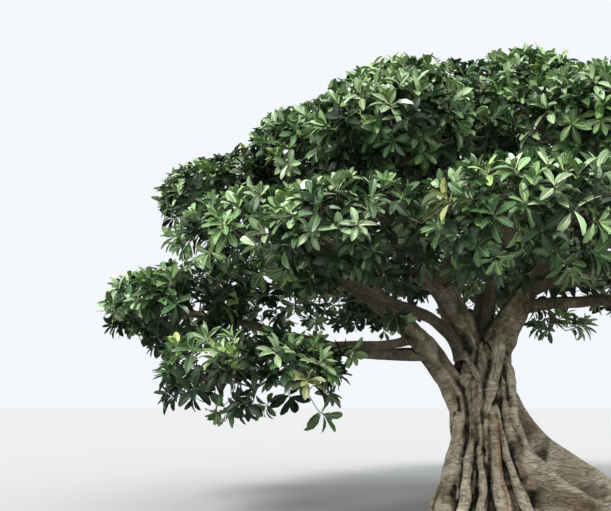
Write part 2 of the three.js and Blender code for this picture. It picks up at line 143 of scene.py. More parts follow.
# Boughs, each ending where it enters the mass of the same name. A bough starts at a point in the trunk, or
# else at a share along its parent. Then follow compass angle and climb in degrees where it leaves and where
# it arrives, its radius at the root and at the tip, and how long the curve keeps to its first direction.
def bough(start, leave, arrive, girth, bend=BEND):
    row = {"start": start, "leave": leave, "arrive": arrive, "girth": girth, "bend": bend}
    row["on_trunk"] = not isinstance(start[0], str)
    return row


BOUGHS = {
    "left_mid": bough((-0.25, -0.06, 1.25), (182, 62), (192, 22), (0.188, 0.062)),
    "left_shoulder": bough(("left_mid", 0.6), (160, 48), (176, 34), (0.084, 0.042)),
    "left_end": bough(("left_mid", 0.3), (180, -5), (176, 12), (0.090, 0.044)),
    "left_hang": bough(("left_mid", 0.4), (196, -22), (232, -24), (0.062, 0.040)),
    "left_drop": bough(("left_end", 0.5), (200, -22), (204, -18), (0.050, 0.032)),
    "inner_left": bough(("left_mid", 0.5), (140, 30), (150, 8), (0.080, 0.042)),
    "front_left": bough((-0.34, -0.14, 1.98), (192, 72), (248, 35), (0.092, 0.046), 0.34),
    "upper_left": bough((-0.08, 0.0, 1.60), (178, 78), (172, 40), (0.228, 0.066)),
    "front_mid": bough(("upper_left", 0.43), (272, 30), (266, 6), (0.104, 0.048)),
    "upper_front_left": bough(("upper_left", 0.53), (240, 62), (250, 34), (0.092, 0.046)),
    "upper_back_left": bough(("upper_left", 0.49), (96, 52), (110, 34), (0.098, 0.048)),
    "back_left": bough(("upper_left", 0.4), (130, 30), (128, 8), (0.098, 0.046)),
    "top_mid": bough((0.03, 0.11, 1.90), (40, 84), (50, 76), (0.092, 0.056)),
    "top_left": bough(("top_mid", 0.4), (160, 66), (150, 60), (0.084, 0.046)),
    "top_right": bough((-0.03, -0.01, 1.64), (2, 70), (10, 58), (0.228, 0.062)),
    "upper_front_right": bough(("top_right", 0.54), (268, 54), (262, 32), (0.094, 0.046)),
    "upper_back_right": bough(("top_right", 0.5), (92, 50), (84, 34), (0.096, 0.048)),
    "front_right": bough(("top_right", 0.44), (280, 26), (268, 4), (0.098, 0.048)),
    "far_front": bough(("top_right", 0.37), (322, 18), (306, 8), (0.092, 0.046)),
    "right_shoulder": bough(("top_right", 0.47), (2, 30), (4, 30), (0.104, 0.048)),
    "right_end": bough(("top_right", 0.3), (352, 8), (4, 12), (0.090, 0.048)),
    "right_spur": bough(("right_end", 0.14), (40, -40), (30, -50), (0.028, 0.020)),
    "right_back": bough(("top_right", 0.38), (52, 20), (34, 12), (0.096, 0.048)),
    "back_right": bough((-0.02, 0.20, 1.88), (86, 56), (76, 10), (0.118, 0.050)),
}

# Leafy masses, each an ellipsoid: its middle, half width along X, half depth along Y, and how far it rises
# above and hangs below its middle
MASSES = {
    "left_end": ((-4.30, -0.05, 2.68), 1.04, 1.25, 0.55, 0.63),
    "left_shoulder": ((-3.69, 0.35, 4.40), 1.04, 1.25, 0.54, 0.64),
    "left_mid": ((-3.15, -1.25, 3.45), 1.08, 0.98, 0.68, 0.54),
    "left_hang": ((-2.78, -1.90, 1.76), 0.95, 0.76, 0.54, 0.66),
    "left_drop": ((-3.75, -1.20, 1.72), 0.61, 0.64, 0.50, 0.55),
    "inner_left": ((-3.15, 1.90, 3.25), 1.20, 1.10, 0.66, 0.56),
    "front_left": ((-2.00, -2.70, 3.25), 1.10, 1.05, 0.68, 0.56),
    "upper_left": ((-2.38, 0.15, 4.94), 1.12, 1.35, 0.72, 0.66),
    "front_mid": ((-0.35, -3.40, 3.25), 1.12, 1.08, 0.70, 0.60),
    "upper_front_left": ((-1.35, -1.85, 4.70), 1.25, 1.08, 0.74, 0.58),
    "upper_back_left": ((-1.30, 2.05, 4.75), 1.35, 1.20, 0.82, 0.64),
    "back_left": ((-1.65, 3.45, 3.50), 1.35, 1.10, 0.78, 0.66),
    "top_mid": ((0.65, 0.25, 5.68), 1.20, 1.45, 0.84, 0.60),
    "top_left": ((-1.02, 0.30, 5.60), 1.30, 1.40, 0.84, 0.62),
    "top_right": ((2.30, 0.25, 5.40), 1.25, 1.40, 0.84, 0.62),
    "upper_front_right": ((1.15, -1.95, 4.76), 1.30, 1.10, 0.76, 0.60),
    "upper_back_right": ((1.30, 2.25, 4.78), 1.35, 1.20, 0.82, 0.64),
    "front_right": ((1.35, -3.25, 3.42), 1.15, 1.08, 0.72, 0.60),
    "far_front": ((2.95, -2.30, 3.45), 1.15, 1.15, 0.80, 0.68),
    "right_shoulder": ((3.55, 0.05, 4.44), 1.20, 1.35, 0.82, 0.64),
    "right_end": ((4.30, -0.25, 3.08), 1.10, 1.30, 0.76, 0.66),
    "right_spur": ((1.12, 0.26, 2.45), 0.38, 0.36, 0.24, 0.30),
    "right_back": ((3.20, 2.15, 3.50), 1.30, 1.25, 0.82, 0.68),
    "back_right": ((0.90, 3.55, 3.56), 1.35, 1.10, 0.78, 0.66),
}

# Growth of a mass, as in the solids
COARSE_EVERY = 1.190  # spacing of the first shoots over the skin of a mass
FEWEST_SHOOTS = 5
COARSE_DEPTH = (0.380, 0.560)  # how far under the skin a shoot starts, at least and at most
UNDERSIDE = 0.7  # how far round towards straight down shoots are spread
LIFT = 0.70  # how far a shoot's axis turns up from the skin's normal, and how far on along its twig
ONWARD = 0.35
PATH_WEIGHT = 0.45  # how much a twig prefers a short way back to the stem over a near place
STEM_INTO_MASS = 0.55  # share of the way from the bough's tip to the middle
STEM_KNEE = 2.2  # how far a stem runs straight on from its bough, in radii
TIP_AT = 0.74  # share of a mass's reach at which its bough ends
LIMB_GAP = 0.026  # least gap between the wood and a shoot's place or a leaf

# Finer shoots
FINE_EVERY = 0.185
FINE_DEPTH = (0.180, 0.440)
FINE_UNDERSIDE = 0.95
FINE_FROM = 900  # number of the first fine shoot in the sequence of directions
SKIN_SEARCH = (0.5, 1.45, 20)  # shares of a mass's reach where the crown's skin is sought, and steps
MIXERS = (7.31, 3.77, 13.7)  # turn one seeded value into others
TWIG_STEP = 0.26  # a twig can branch again at this spacing
TWIG_TIP = 0.0060  # radius of a twig at its last shoot
TWIG_POWER = 0.46  # how fast a twig thickens with the number of shoots that it carries
SHOOT_LONG = (0.07, 0.15)  # leafy end of a twig
SCATTER = 0.16  # unevenness of the shoots' axes
INNER_SHARE = (0.22, 0.50)  # share kept of the shoots inside the crown, low in it and at its top
BELOW_SHARE = (0.42, 0.80)  # share kept of the shoots that face the ground, in the same way

# Skin of the whole crown
SWELL = (1.2, 3.2)  # how crisply masses part: low in the crown and at its top, where valleys stay open
LOW_AND_TOP = (3.2, 4.4)  # heights between which these values change
CORE = {"middle": (0.0, 0.35, 4.05), "reach": (3.2, 2.6, 0.74)}  # where leaves bridge the gaps between masses
LUMPS = (0.24, 0.14)  # unevenness of the crown's skin, at the size of a bough's spray and of a shoot
OUTER_LEVEL = 0.84  # crown level down to which a leaf's tip may reach out
BOX_MARGIN = 0.08  # how far leaves may reach past the box round the solids

# Undersides: shoots that hang below a mass, masses whose underside hangs deep and thin, masses whose shoots
# stand wider apart, and masses with more or fewer shoots that face the ground
HANGING = {"share": 0.40, "drop": (0.02, 0.14), "level": 0.40}
DEEP_HANGING = {"share": 0.85, "drop": (0.06, 0.34), "level": 0.16}
HANGS_FROM = 0.35  # share of a mass's depth under its middle where shoots hang, and where they face down
BELOW_FROM = 0.30
HANGING_SHADE = 0.4
DEEP_MASSES = {"inner_left", "back_left"}
OPEN_MASSES = {"left_hang": 1.34, "left_drop": 1.26, "left_mid": 1.12, "inner_left": 1.25, "right_spur": 1.3}
OPEN_BELOW = {"back_left": 1.05, "back_right": 0.5, "inner_left": 1.05, "left_mid": 0.75}

# Small shoots that sprout straight from a bough
SPROUTS_EVERY = 0.30
SPROUT_LONG = (0.05, 0.17)
SPROUTS_FROM = (0.42, 0.25)  # share of its length from which a main and a side bough bears them
LOW_LIMB = 2.7  # height under which a limb's own shoots hang from it, and its first part bears none
BARE_SHARE = 0.48

# Leaves: size, and outline as half width at shares of the length
LEAF_LONG = 0.258
LEAF_SHAPE = 0.40  # width as a share of length
LEAF_OUTLINE = [(0.12, 0.30), (0.40, 0.88), (0.68, 1.0), (0.92, 0.56)]
RIB_HALF = 0.0085  # half width of the pale rib at the leaf's foot
VEINS = 12  # side veins on each half of a leaf, and how far they slant forward for each metre sideways
VEIN_SLANT = 42
LEAST_LEAVES = 5  # a shoot with fewer that fit isn't grown
LEAVES_ON_SHOOT = (8, 12)
GOLDEN_TURN = 137.5
LEAFY_PART = 0.085  # length of the shoot that bears leaves
SPLAY = (14, 69)  # degrees between a leaf and its shoot: the youngest, and how much more for the oldest
SPLAY_LOST = 20  # how much less of it on an upright shoot
DROOP = 0.24  # how far the oldest leaves sink
LEAF_FOLD = (10, 34)  # degrees that each half folds up, and that the blade arches over
LEAF_ARCH = (10, 40)

random = np.random.default_rng(279)


def heading(angle, climb):
    level = math.cos(math.radians(climb))
    flat = math.radians(angle)
    return np.array([math.cos(flat) * level, math.sin(flat) * level, math.sin(math.radians(climb))])


def unit(vectors):
    return vectors / np.maximum(np.linalg.norm(vectors, axis=-1, keepdims=True), 1e-9)


def dots(first, second):
    return np.einsum("ij,ij->i", first, second)


def limited(values):
    return np.clip(values, 0, 1)


def arc(start, pull, end, t):
    """Points of the curve from start to end that leaves towards a third point."""
    return (1 - t) ** 2 * start + 2 * t * (1 - t) * pull + t**2 * end


# Smooth noise at each row of points, from a seeded table of gradients
NOISE_CELLS = 64
NOISE_GAIN = 1.6  # brings it to about -1 to 1
noise_directions = unit(random.normal(size=(NOISE_CELLS**3, 3)))


def noise(points):
    points = np.asarray(points, float)
    cell = np.floor(points).astype(np.int64)
    inside = points - cell
    ease = inside**3 * (inside * (inside * 6 - 15) + 10)
    total = np.zeros(len(points))
    for corner in np.ndindex(2, 2, 2):
        at = (cell + corner) % NOISE_CELLS
        row = (at[:, 0] * NOISE_CELLS + at[:, 1]) * NOISE_CELLS + at[:, 2]
        pull = dots(noise_directions[row], inside - corner)
        weight = np.prod(np.where(np.array(corner) == 1, ease, 1 - ease), axis=1)
        total += pull * weight
    return total * NOISE_GAIN


# Trunk, as in the solids, with winding fins
def finned_radius(angle, height, wind=0.0):
    above = np.maximum(height, 0)
    column = WAIST + FOOT_SWELL * np.exp(-above / SWELL_HEIGHT)
    total = column**FIN_SHARPNESS
    for fin in FINS:
        outward = np.maximum(1 - above / fin["height"], 0)
        sway = wind * fin["wind"] * np.sin(outward * 9.5 + fin["angle"]) * np.sqrt(outward)
        off = angle - np.radians(fin["angle"] + fin["turn"] * outward + sway)
        start = WAIST * FLUTE
        ripple = 1 + 0.05 * wind * np.sin(outward * 16 + fin["angle"]) * outward
        reach = start + (fin["reach"] - start) * outward ** fin.get("fall", FIN_FALL) * ripple
        sideways = (np.abs(np.sin(off)) / fin["half"]) ** FIN_ROUNDING
        ridge = (reach**-FIN_ROUNDING + sideways) ** (-FIN_SHARPNESS / FIN_ROUNDING)
        total = total + np.where(np.cos(off) > 0, ridge, 0)
    return total ** (1 / FIN_SHARPNESS)


def trunk_radius(angle, height, wind=0.0):
    rise = np.maximum((np.minimum(height, FORK) - SHOULDER) / (FORK - SHOULDER), 0)
    return finned_radius(angle, height, wind) * np.sqrt(np.maximum(1 - rise**2, 0.02))


def trunk_middle(height):
    height = np.asarray(height, float)
    return np.stack([LEAN * np.maximum(height, 0) / FORK, 0 * height, height], axis=-1)


def around(angle):
    return np.stack([np.cos(angle), np.sin(angle), 0 * angle], axis=-1)


def inside_trunk(points, margin):
    off = points - trunk_middle(points[:, 2])
    reach = np.hypot(off[:, 0], off[:, 1])
    near = reach < trunk_radius(np.arctan2(off[:, 1], off[:, 0]), points[:, 2]) + margin
    return near & (points[:, 2] < FORK + margin)


# Boughs: one cubic curve each, from inside its parent to the skin of its mass
SAMPLES = 193


def evenly(points, count):
    run = np.concatenate([[0], np.cumsum(np.linalg.norm(np.diff(points, axis=0), axis=1))])
    wanted = np.linspace(0, run[-1], count)
    return np.stack([np.interp(wanted, run, column) for column in points.T], axis=1), run[-1]


def length_of(points):
    return np.linalg.norm(np.diff(points, axis=0), axis=1).sum()


def along_line(points, share):
    place = np.clip(share, 0, 1) * (len(points) - 1)
    low = np.minimum(place.astype(int), len(points) - 2)
    return points[low] + (points[low + 1] - points[low]) * (place - low)[:, None]


def frames_along(points):
    """Tangent and two sides at each point of a line, turned as little as possible on the way."""
    along = unit(np.gradient(points, axis=0))
    side = np.cross(along[0], (0.3, 0.2, 1.0))
    sides = []
    for direction in along:
        side = side - direction * side.dot(direction)
        side = side / np.linalg.norm(side)
        sides.append(side)
    sides = np.array(sides)
    return along, sides, np.cross(along, sides)


def lay_bough(name, row):
    middle, wide, deep, up, down = MASSES[name]
    back = -heading(*row["arrive"])
    high = up if back[2] > 0 else down
    tip = np.array(middle) + back * TIP_AT / np.linalg.norm(back / (wide, deep, high))
    if row["on_trunk"]:
        root = np.array(row["start"])
    else:
        parent, share = row["start"]
        root = limbs[parent]["points"][round(share * (SAMPLES - 1))]
    span = np.linalg.norm(tip - root)
    first = root + heading(*row["leave"]) * row["bend"] * span
    last = tip + back * BEND * span
    t = np.linspace(0, 1, 600)[:, None]
    curve = (1 - t) ** 3 * root + 3 * t * (1 - t) ** 2 * first + 3 * t**2 * (1 - t) * last + t**3 * tip
    points, length = evenly(curve, SAMPLES)
    thick, thin = row["girth"]
    share = np.linspace(0, 1, SAMPLES)
    flare = 0.35 * thick * np.exp(-share * length / (1.6 * thick))
    return {"points": points, "length": length, "radii": thin + (thick - thin) * (1 - share) ** 0.9 + flare}


limbs = {}
for bough_name, bough_row in BOUGHS.items():
    limbs[bough_name] = lay_bough(bough_name, bough_row)

limb_points = np.concatenate([limb["points"][::4] for limb in limbs.values()])
limb_radii = np.concatenate([limb["radii"][::4] for limb in limbs.values()])


def clear_of_wood(points, half):
    """Whether each point stands clear of the trunk and of every bough by half its own width and a gap."""
    clear = ~inside_trunk(points, half + LIMB_GAP)
    for start in range(0, len(points), 4000):
        some = points[start : start + 4000]
        squares = (some**2).sum(1)[:, None] + (limb_points**2).sum(1) - 2 * some @ limb_points.T
        gap = np.sqrt(np.maximum(squares, 0)) - limb_radii
        clear[start : start + 4000] &= gap.min(axis=1) > half + LIMB_GAP
    return clear


# Space of a mass: its own ellipsoid, on its own side of the walls between it and its neighbours
mass_names = list(MASSES)
mass_middles = np.array([row[0] for row in MASSES.values()])
mass_sizes = np.array([row[1] * row[2] for row in MASSES.values()])


def from_middle(name, points):
    """Offsets of points from a mass's middle, with its half sizes on each point's side."""
    middle, wide, deep, up, down = MASSES[name]
    off = points - np.array(middle)
    return off, wide, deep, np.where(off[:, 2] > 0, up, down)


def level_in(name, points):
    off, wide, deep, high = from_middle(name, points)
    return np.sqrt((off[:, 0] / wide) ** 2 + (off[:, 1] / deep) ** 2 + (off[:, 2] / high) ** 2)


def on_own_side(name, points, gap):
    own = mass_names.index(name)
    squares = ((points[:, None, :] - mass_middles) ** 2).sum(axis=2)
    lead = squares - squares[:, own : own + 1]
    apart = np.linalg.norm(mass_middles - mass_middles[own], axis=1)
    apart[own] = 1
    wall = (lead - (mass_sizes - mass_sizes[own])) / (2 * apart)
    wall[:, own] = 1
    return wall.min(axis=1) > gap


# Shoots of a mass: the first are those of the solids, and finer ones follow nearer to the skin
SEQUENCE_STEPS = np.array([0.8191725134, 0.6710436067, 0.5497004779])


def crown_level(points):
    """1 at the crown's uneven skin and more inside it, with the valleys between masses bridged."""
    level = LUMPS[0] * noise(points * 1.5 + 5) + LUMPS[1] * noise(points * 4.1 + 9)
    swell = np.interp(points[:, 2], LOW_AND_TOP, SWELL)
    for name in MASSES:
        level += np.exp(swell * (1 - level_in(name, points) ** 2))
    core = np.linalg.norm((points - np.array(CORE["middle"])) / CORE["reach"], axis=1)
    return level + np.exp(swell * (1 - core**2))


def directions_in(name, order, numbers, underside):
    """Reach of a mass in seeded directions spread evenly round it, and a third seeded value for each."""
    _, wide, deep, up, down = MASSES[name]
    seed = (order + 1) * math.sqrt(2) % 1
    turn, drop, depth = (seed * np.arange(1, 4)[:, None] + numbers * SEQUENCE_STEPS[:, None]) % 1
    height = 1 - drop * (1 + underside)
    ring = np.sqrt(np.maximum(1 - height**2, 0))
    flat = around(turn * 2 * math.pi)
    high = np.where(height > 0, up, down)
    return np.stack([wide * ring * flat[:, 0], deep * ring * flat[:, 1], high * height], axis=1), depth


def sunk_under(reach, depths, depth):
    """Reach shortened by a depth between two, which is smaller in a small mass."""
    far = np.linalg.norm(reach, axis=1)
    below = depths[0] + (depths[1] - depths[0]) * depth
    return reach * (np.maximum(far - below, 0.2 * far) / far)[:, None]


def smallness(name):
    """1 for a usual mass, and less for a small one."""
    _, wide, deep, up, _ = MASSES[name]
    return min(1, (wide + deep + up) / 2.2)


def hanging_habit(name):
    return DEEP_HANGING if name in DEEP_MASSES else HANGING


def skin_area(name):
    _, wide, deep, up, down = MASSES[name]
    return math.pi * wide * deep + math.pi * (wide + deep) * (up + down) * 0.5


def coarse_places(name, order):
    count = max(FEWEST_SHOOTS, round(0.8 * skin_area(name) / COARSE_EVERY**2))
    reach, depth = directions_in(name, order, np.arange(1, count * 8), UNDERSIDE)
    places = sunk_under(reach, np.array(COARSE_DEPTH) * smallness(name), depth) + MASSES[name][0]
    return places[on_own_side(name, places, 0.015)][:count]


def fine_places(name, order):
    """Places under the crown's skin as seen from a mass's middle, how shaded each is, and which hang."""
    middle, *_, down = MASSES[name]
    count = round(skin_area(name) / (FINE_EVERY * OPEN_MASSES.get(name, 1)) ** 2)
    reach, depth = directions_in(name, order, np.arange(FINE_FROM, FINE_FROM + count), FINE_UNDERSIDE)
    steps = np.linspace(*SKIN_SEARCH)
    line = middle + reach[:, None, :] * steps[:, None]
    flat = line.reshape(-1, 3)
    own = on_own_side(name, flat, 0.0).reshape(len(reach), -1)
    full = (crown_level(flat) > 1).reshape(len(reach), -1)
    last = np.logical_and.accumulate(own & full, axis=1).sum(axis=1) - 1
    beyond = np.minimum(last + 1, len(steps) - 1)
    inner = full[np.arange(len(reach)), beyond] & (last < len(steps) - 1)
    reach = reach * steps[np.maximum(last, 0)][:, None]
    places = sunk_under(reach, np.array(FINE_DEPTH) * smallness(name), np.where(inner, 0, depth)) + middle
    chance, drop, other_chance = (depth * mixer % 1 for mixer in MIXERS)
    habit = hanging_habit(name)
    hanging = (reach[:, 2] < -HANGS_FROM * down) & ~inner & (chance < habit["share"])
    low, high = habit["drop"]
    places[hanging, 2] -= smallness(name) * (low + (high - low) * drop[hanging])
    below = reach[:, 2] < -BELOW_FROM * down
    inner_share = np.interp(places[:, 2], LOW_AND_TOP, INNER_SHARE)
    below_share = np.interp(places[:, 2], LOW_AND_TOP, BELOW_SHARE) * OPEN_BELOW.get(name, 1)
    kept = (last >= 0) & (~inner | (depth < inner_share)) & (~below | (other_chance < below_share))
    shaded = limited((depth - 0.4) * 1.3)
    shaded[hanging] = HANGING_SHADE
    shaded[inner] = 1
    return places[kept], shaded[kept], hanging[kept]


def skin_normal(name, points):
    off, wide, deep, high = from_middle(name, points)
    return unit(np.stack([off[:, 0] / wide**2, off[:, 1] / deep**2, off[:, 2] / high**2], axis=1))


def stem_of(name):
    """A bough's tip, its direction and radius there, and where its stem ends inside the mass."""
    points = limbs[name]["points"]
    tip = points[-1]
    end = tip + (np.array(MASSES[name][0]) - tip) * STEM_INTO_MASS
    return tip, unit(tip - points[-3]), limbs[name]["radii"][-1], end


class Twigs:
    """Wood of one mass: places joined by their nearest way back to the stem."""

    def __init__(self, name):
        tip, onward, radius, end = stem_of(name)
        self.radius = radius
        self.at = [tip - onward * radius, tip + onward * STEM_KNEE * radius]
        self.parent = [-1, 0]
        self.path = [0.0, (1 + STEM_KNEE) * radius]
        self.load = [0, 0]
        self.reach(1, end)

    def direction(self, node):
        below = self.parent[node]
        return unit(self.at[node] - self.at[below]) if below >= 0 else unit(self.at[1] - self.at[0])

    def reach(self, start, end):
        """Grows a bent twig from a node to a place, in steps that can branch again."""
        chord = end - self.at[start]
        far = np.linalg.norm(chord)
        steps = max(1, round(far / TWIG_STEP))
        pull = self.at[start] + self.direction(start) * BEND * far
        node = start
        for k in range(1, steps + 1):
            share = k / steps
            at = arc(self.at[start], pull, end, share)
            self.at.append(at)
            self.path.append(self.path[node] + np.linalg.norm(at - self.at[node]))
            self.parent.append(node)
            self.load.append(0)
            node = len(self.at) - 1
        return node

    def nearest(self, place):
        far = np.linalg.norm(np.array(self.at[1:]) - place, axis=1)
        return 1 + int(np.argmin(far + PATH_WEIGHT * np.array(self.path[1:])))

    def carry(self, node, shoots):
        while node >= 0:
            self.load[node] += shoots
            node = self.parent[node]


def grow_mass(name, order):
    """Twigs of a mass, the twigs' ends that bear a leafy shoot, how shaded each is, and which hang."""
    twigs = Twigs(name)
    coarse = coarse_places(name, order)
    fine, shaded, hanging = fine_places(name, order)
    places = np.concatenate([coarse, fine])
    open_places = clear_of_wood(places, TWIG_TIP)
    ends, kept = [], []
    for n, place in enumerate(places):
        if not open_places[n]:
            continue
        node = twigs.reach(twigs.nearest(place), place)
        twigs.carry(node, 1)
        if n >= len(coarse):
            ends.append(node)
            kept.append(n - len(coarse))
    return twigs, ends, shaded[kept], hanging[kept]


def sprouts_on(name):
    """Small shoots straight from a bough: where each starts, where its leaves sit, and its axis."""
    limb = limbs[name]
    first = SPROUTS_FROM[0 if BOUGHS[name]["on_trunk"] else 1]
    count = int(limb["length"] * (1 - first) / SPROUTS_EVERY)
    share = first + (1 - first) * (np.arange(count) + random.uniform(0.1, 0.9, count)) / max(count, 1)
    middle = along_line(limb["points"], share)
    bare = (middle[:, 2] < LOW_LIMB) & (share < BARE_SHARE)
    share, middle, count = share[~bare], middle[~bare], int((~bare).sum())
    radius = along_line(limb["radii"][:, None], share)
    along = along_line(unit(np.gradient(limb["points"], axis=0)), share)
    out = random.normal(size=(count, 3))
    out = unit(out - along * dots(out, along)[:, None])
    low = middle[:, 2] < LOW_LIMB
    out[low, 2] *= -np.sign(out[low, 2])
    axes = unit(out + ONWARD * along + np.where(low[:, None], (0, 0, -0.2), (0, 0, 0.25)))
    start = middle + out * radius * 0.6
    return start, start + axes * (radius + random.uniform(*SPROUT_LONG, (count, 1))), axes


# Meshes from arrays
def read(rows, key, width=1, kind=np.float32):
    """One property of all rows of a mesh, with the given number of columns."""
    values = np.empty(len(rows) * width, kind)
    rows.foreach_get(key, values)
    return values.reshape(-1, width) if width > 1 else values


def linked(name, data):
    thing = bpy.data.objects.new(name, data)
    bpy.context.scene.collection.objects.link(thing)
    return thing


def clean_mesh(name, points, triangles):
    mesh = bpy.data.meshes.new(name)
    mesh.vertices.add(len(points))
    mesh.vertices.foreach_set("co", np.asarray(points, np.float32).ravel())
    mesh.loops.add(triangles.size)
    mesh.loops.foreach_set("vertex_index", np.asarray(triangles, np.int32).ravel())
    mesh.polygons.add(len(triangles))
    mesh.polygons.foreach_set("loop_start", np.arange(0, triangles.size, 3, dtype=np.int32))
    mesh.update(calc_edges=True)
    return mesh


def piece_from(name, points, triangles, material):
    mesh = clean_mesh(name, points, triangles)
    mesh.materials.append(material)
    mesh.polygons.foreach_set("use_smooth", np.ones(len(triangles), bool))
    piece = linked(name, mesh)
    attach(piece, "root")
    return piece


def tubes(lines, radii, sides):
    """Points and triangles of many tapering tubes that all have the same number of points and sides."""
    count, steps, _ = lines.shape
    chord = unit(lines[:, -1] - lines[:, 0])
    side = unit(np.cross(chord, np.where(np.abs(chord[:, 2:]) > 0.9, (1.0, 0, 0), (0, 0, 1.0))))
    other = np.cross(chord, side)
    turn = np.arange(sides) * 2 * math.pi / sides
    ring = side[:, None, :] * np.cos(turn)[:, None] + other[:, None, :] * np.sin(turn)[:, None]
    points = lines[:, :, None, :] + ring[:, None, :, :] * radii[:, :, None, None]
    faces = []
    for j in range(steps - 1):
        for k in range(sides):
            a, b = j * sides + k, j * sides + (k + 1) % sides
            faces += [(a, b, b + sides), (a, b + sides, a + sides)]
    last = (steps - 1) * sides
    faces += [(last, last + k, last + k + 1) for k in range(1, sides - 1)]
    faces = np.array(faces)
    offset = np.arange(count)[:, None, None] * steps * sides
    return points.reshape(-1, 3), (faces + offset).reshape(-1, 3)


def joined(parts):
    """Several pairs of points and triangles as one pair."""
    points, triangles, start = [], [], 0
    for some_points, some_triangles in parts:
        points.append(some_points)
        triangles.append(some_triangles + start)
        start += len(some_points)
    return np.concatenate(points), np.concatenate(triangles)


# Leaves: a blade in its own outline, folded along the rib and arched towards its tip
def leaf_template():
    """Shares of the length and half width at a leaf's points, and its triangles, the two halves apart."""
    share, half, faces = [], [], []
    for side in (-1, 1):
        first = len(share)
        share.append(0.0)
        half.append(0.0)
        for at, width in LEAF_OUTLINE:
            share += [at, at]
            half += [side * width, 0.0]
        share.append(1.0)
        half.append(0.0)
        strip = [(first, first + 1, first + 2)]
        for a in range(first + 1, first + 2 * len(LEAF_OUTLINE) - 1, 2):
            strip += [(a, a + 2, a + 3), (a, a + 3, a + 1)]
        last = len(share) - 3
        strip.append((last, last + 2, last + 1))
        faces += [face if side < 0 else face[::-1] for face in strip]
    return np.array(share), np.array(half), np.array(faces)


def leaf_points(root, out, face, long, fold, arch):
    """Points of some leaves, and how far each lies from its leaf's rib."""
    share, half, _ = leaf_template()
    side = np.cross(face, out)
    bent = arch[:, None] * share
    forward = long[:, None] * np.sin(bent) / arch[:, None]
    sink = long[:, None] * (1 - np.cos(bent)) / arch[:, None]
    across = half * long[:, None] * LEAF_SHAPE / 2
    lift = np.abs(across) * np.tan(fold)[:, None] - sink
    spread = across * np.cos(fold)[:, None]
    points = (
        root[:, None, :]
        + out[:, None, :] * forward[:, :, None]
        + side[:, None, :] * spread[:, :, None]
        + face[:, None, :] * lift[:, :, None]
    )
    return points, across


def leaves_for(centres, axes, kinds, level):
    """The leaves of some shoots that fit in the crown, and which shoots have enough of them to be grown."""
    counts = random.integers(LEAVES_ON_SHOOT[0], LEAVES_ON_SHOOT[1] + 1, len(centres))
    shoot = np.repeat(np.arange(len(centres)), counts)
    number = np.concatenate([np.arange(count) for count in counts])
    total = len(shoot)
    age = 1 - number / (counts[shoot] - 1)
    axis = axes[shoot]
    across = unit(np.cross(axis, (0.3, 0.2, 1.0)))
    other = np.cross(axis, across)
    turn = random.uniform(0, 360, len(centres))[shoot] + GOLDEN_TURN * number + random.normal(0, 9, total)
    turn = np.radians(turn)[:, None]
    flat = across * np.cos(turn) + other * np.sin(turn)
    wide = SPLAY[1] - SPLAY_LOST * axis[:, 2]
    splay = SPLAY[0] + wide * age**0.9 + random.normal(0, 8, total)
    splay = np.radians(splay)[:, None]
    out = axis * np.cos(splay) + flat * np.sin(splay) + random.normal(0, 0.07, (total, 3))
    out[:, 2] -= DROOP * age * random.uniform(0.2, 1, total)
    out = unit(out)
    face = axis * 0.9 + (0, 0, 0.5) + random.normal(0, 0.24, (total, 3))
    face = unit(face - out * dots(face, out)[:, None])
    root = centres[shoot] - axis * (LEAFY_PART * age)[:, None] + flat * TWIG_TIP
    vigour = random.uniform(0.84, 1.14, len(centres))[shoot]
    long = LEAF_LONG * vigour * (1 - 0.28 * (1 - age) ** 2 - 0.08 * age) * random.uniform(0.88, 1.1, total)
    rows = {
        "root": root,
        "out": out,
        "face": face,
        "long": long,
        "fold": np.radians(random.uniform(*LEAF_FOLD, total)),
        "arch": np.radians(random.uniform(*LEAF_ARCH, total) + 18 * age),
        "tone": limited(0.5 + 0.22 * random.normal(size=total) - 0.16 * (age - 0.5)),
        "kind": np.asarray(kinds)[shoot],
    }
    tips = root + out * long[:, None] * 0.97
    fits = (crown_level(tips) > np.asarray(level)[shoot]) & clear_of_wood(tips, 0.0)
    fits &= ((tips > np.array(cad_low) - BOX_MARGIN) & (tips < np.array(cad_high) + BOX_MARGIN)).all(axis=1)
    fits &= clear_of_wood(root + out * long[:, None] * 0.5, 0.01)
    grown = np.bincount(shoot[fits], minlength=len(centres)) >= LEAST_LEAVES
    fits &= grown[shoot]
    return {key: value[fits] for key, value in rows.items()}, grown


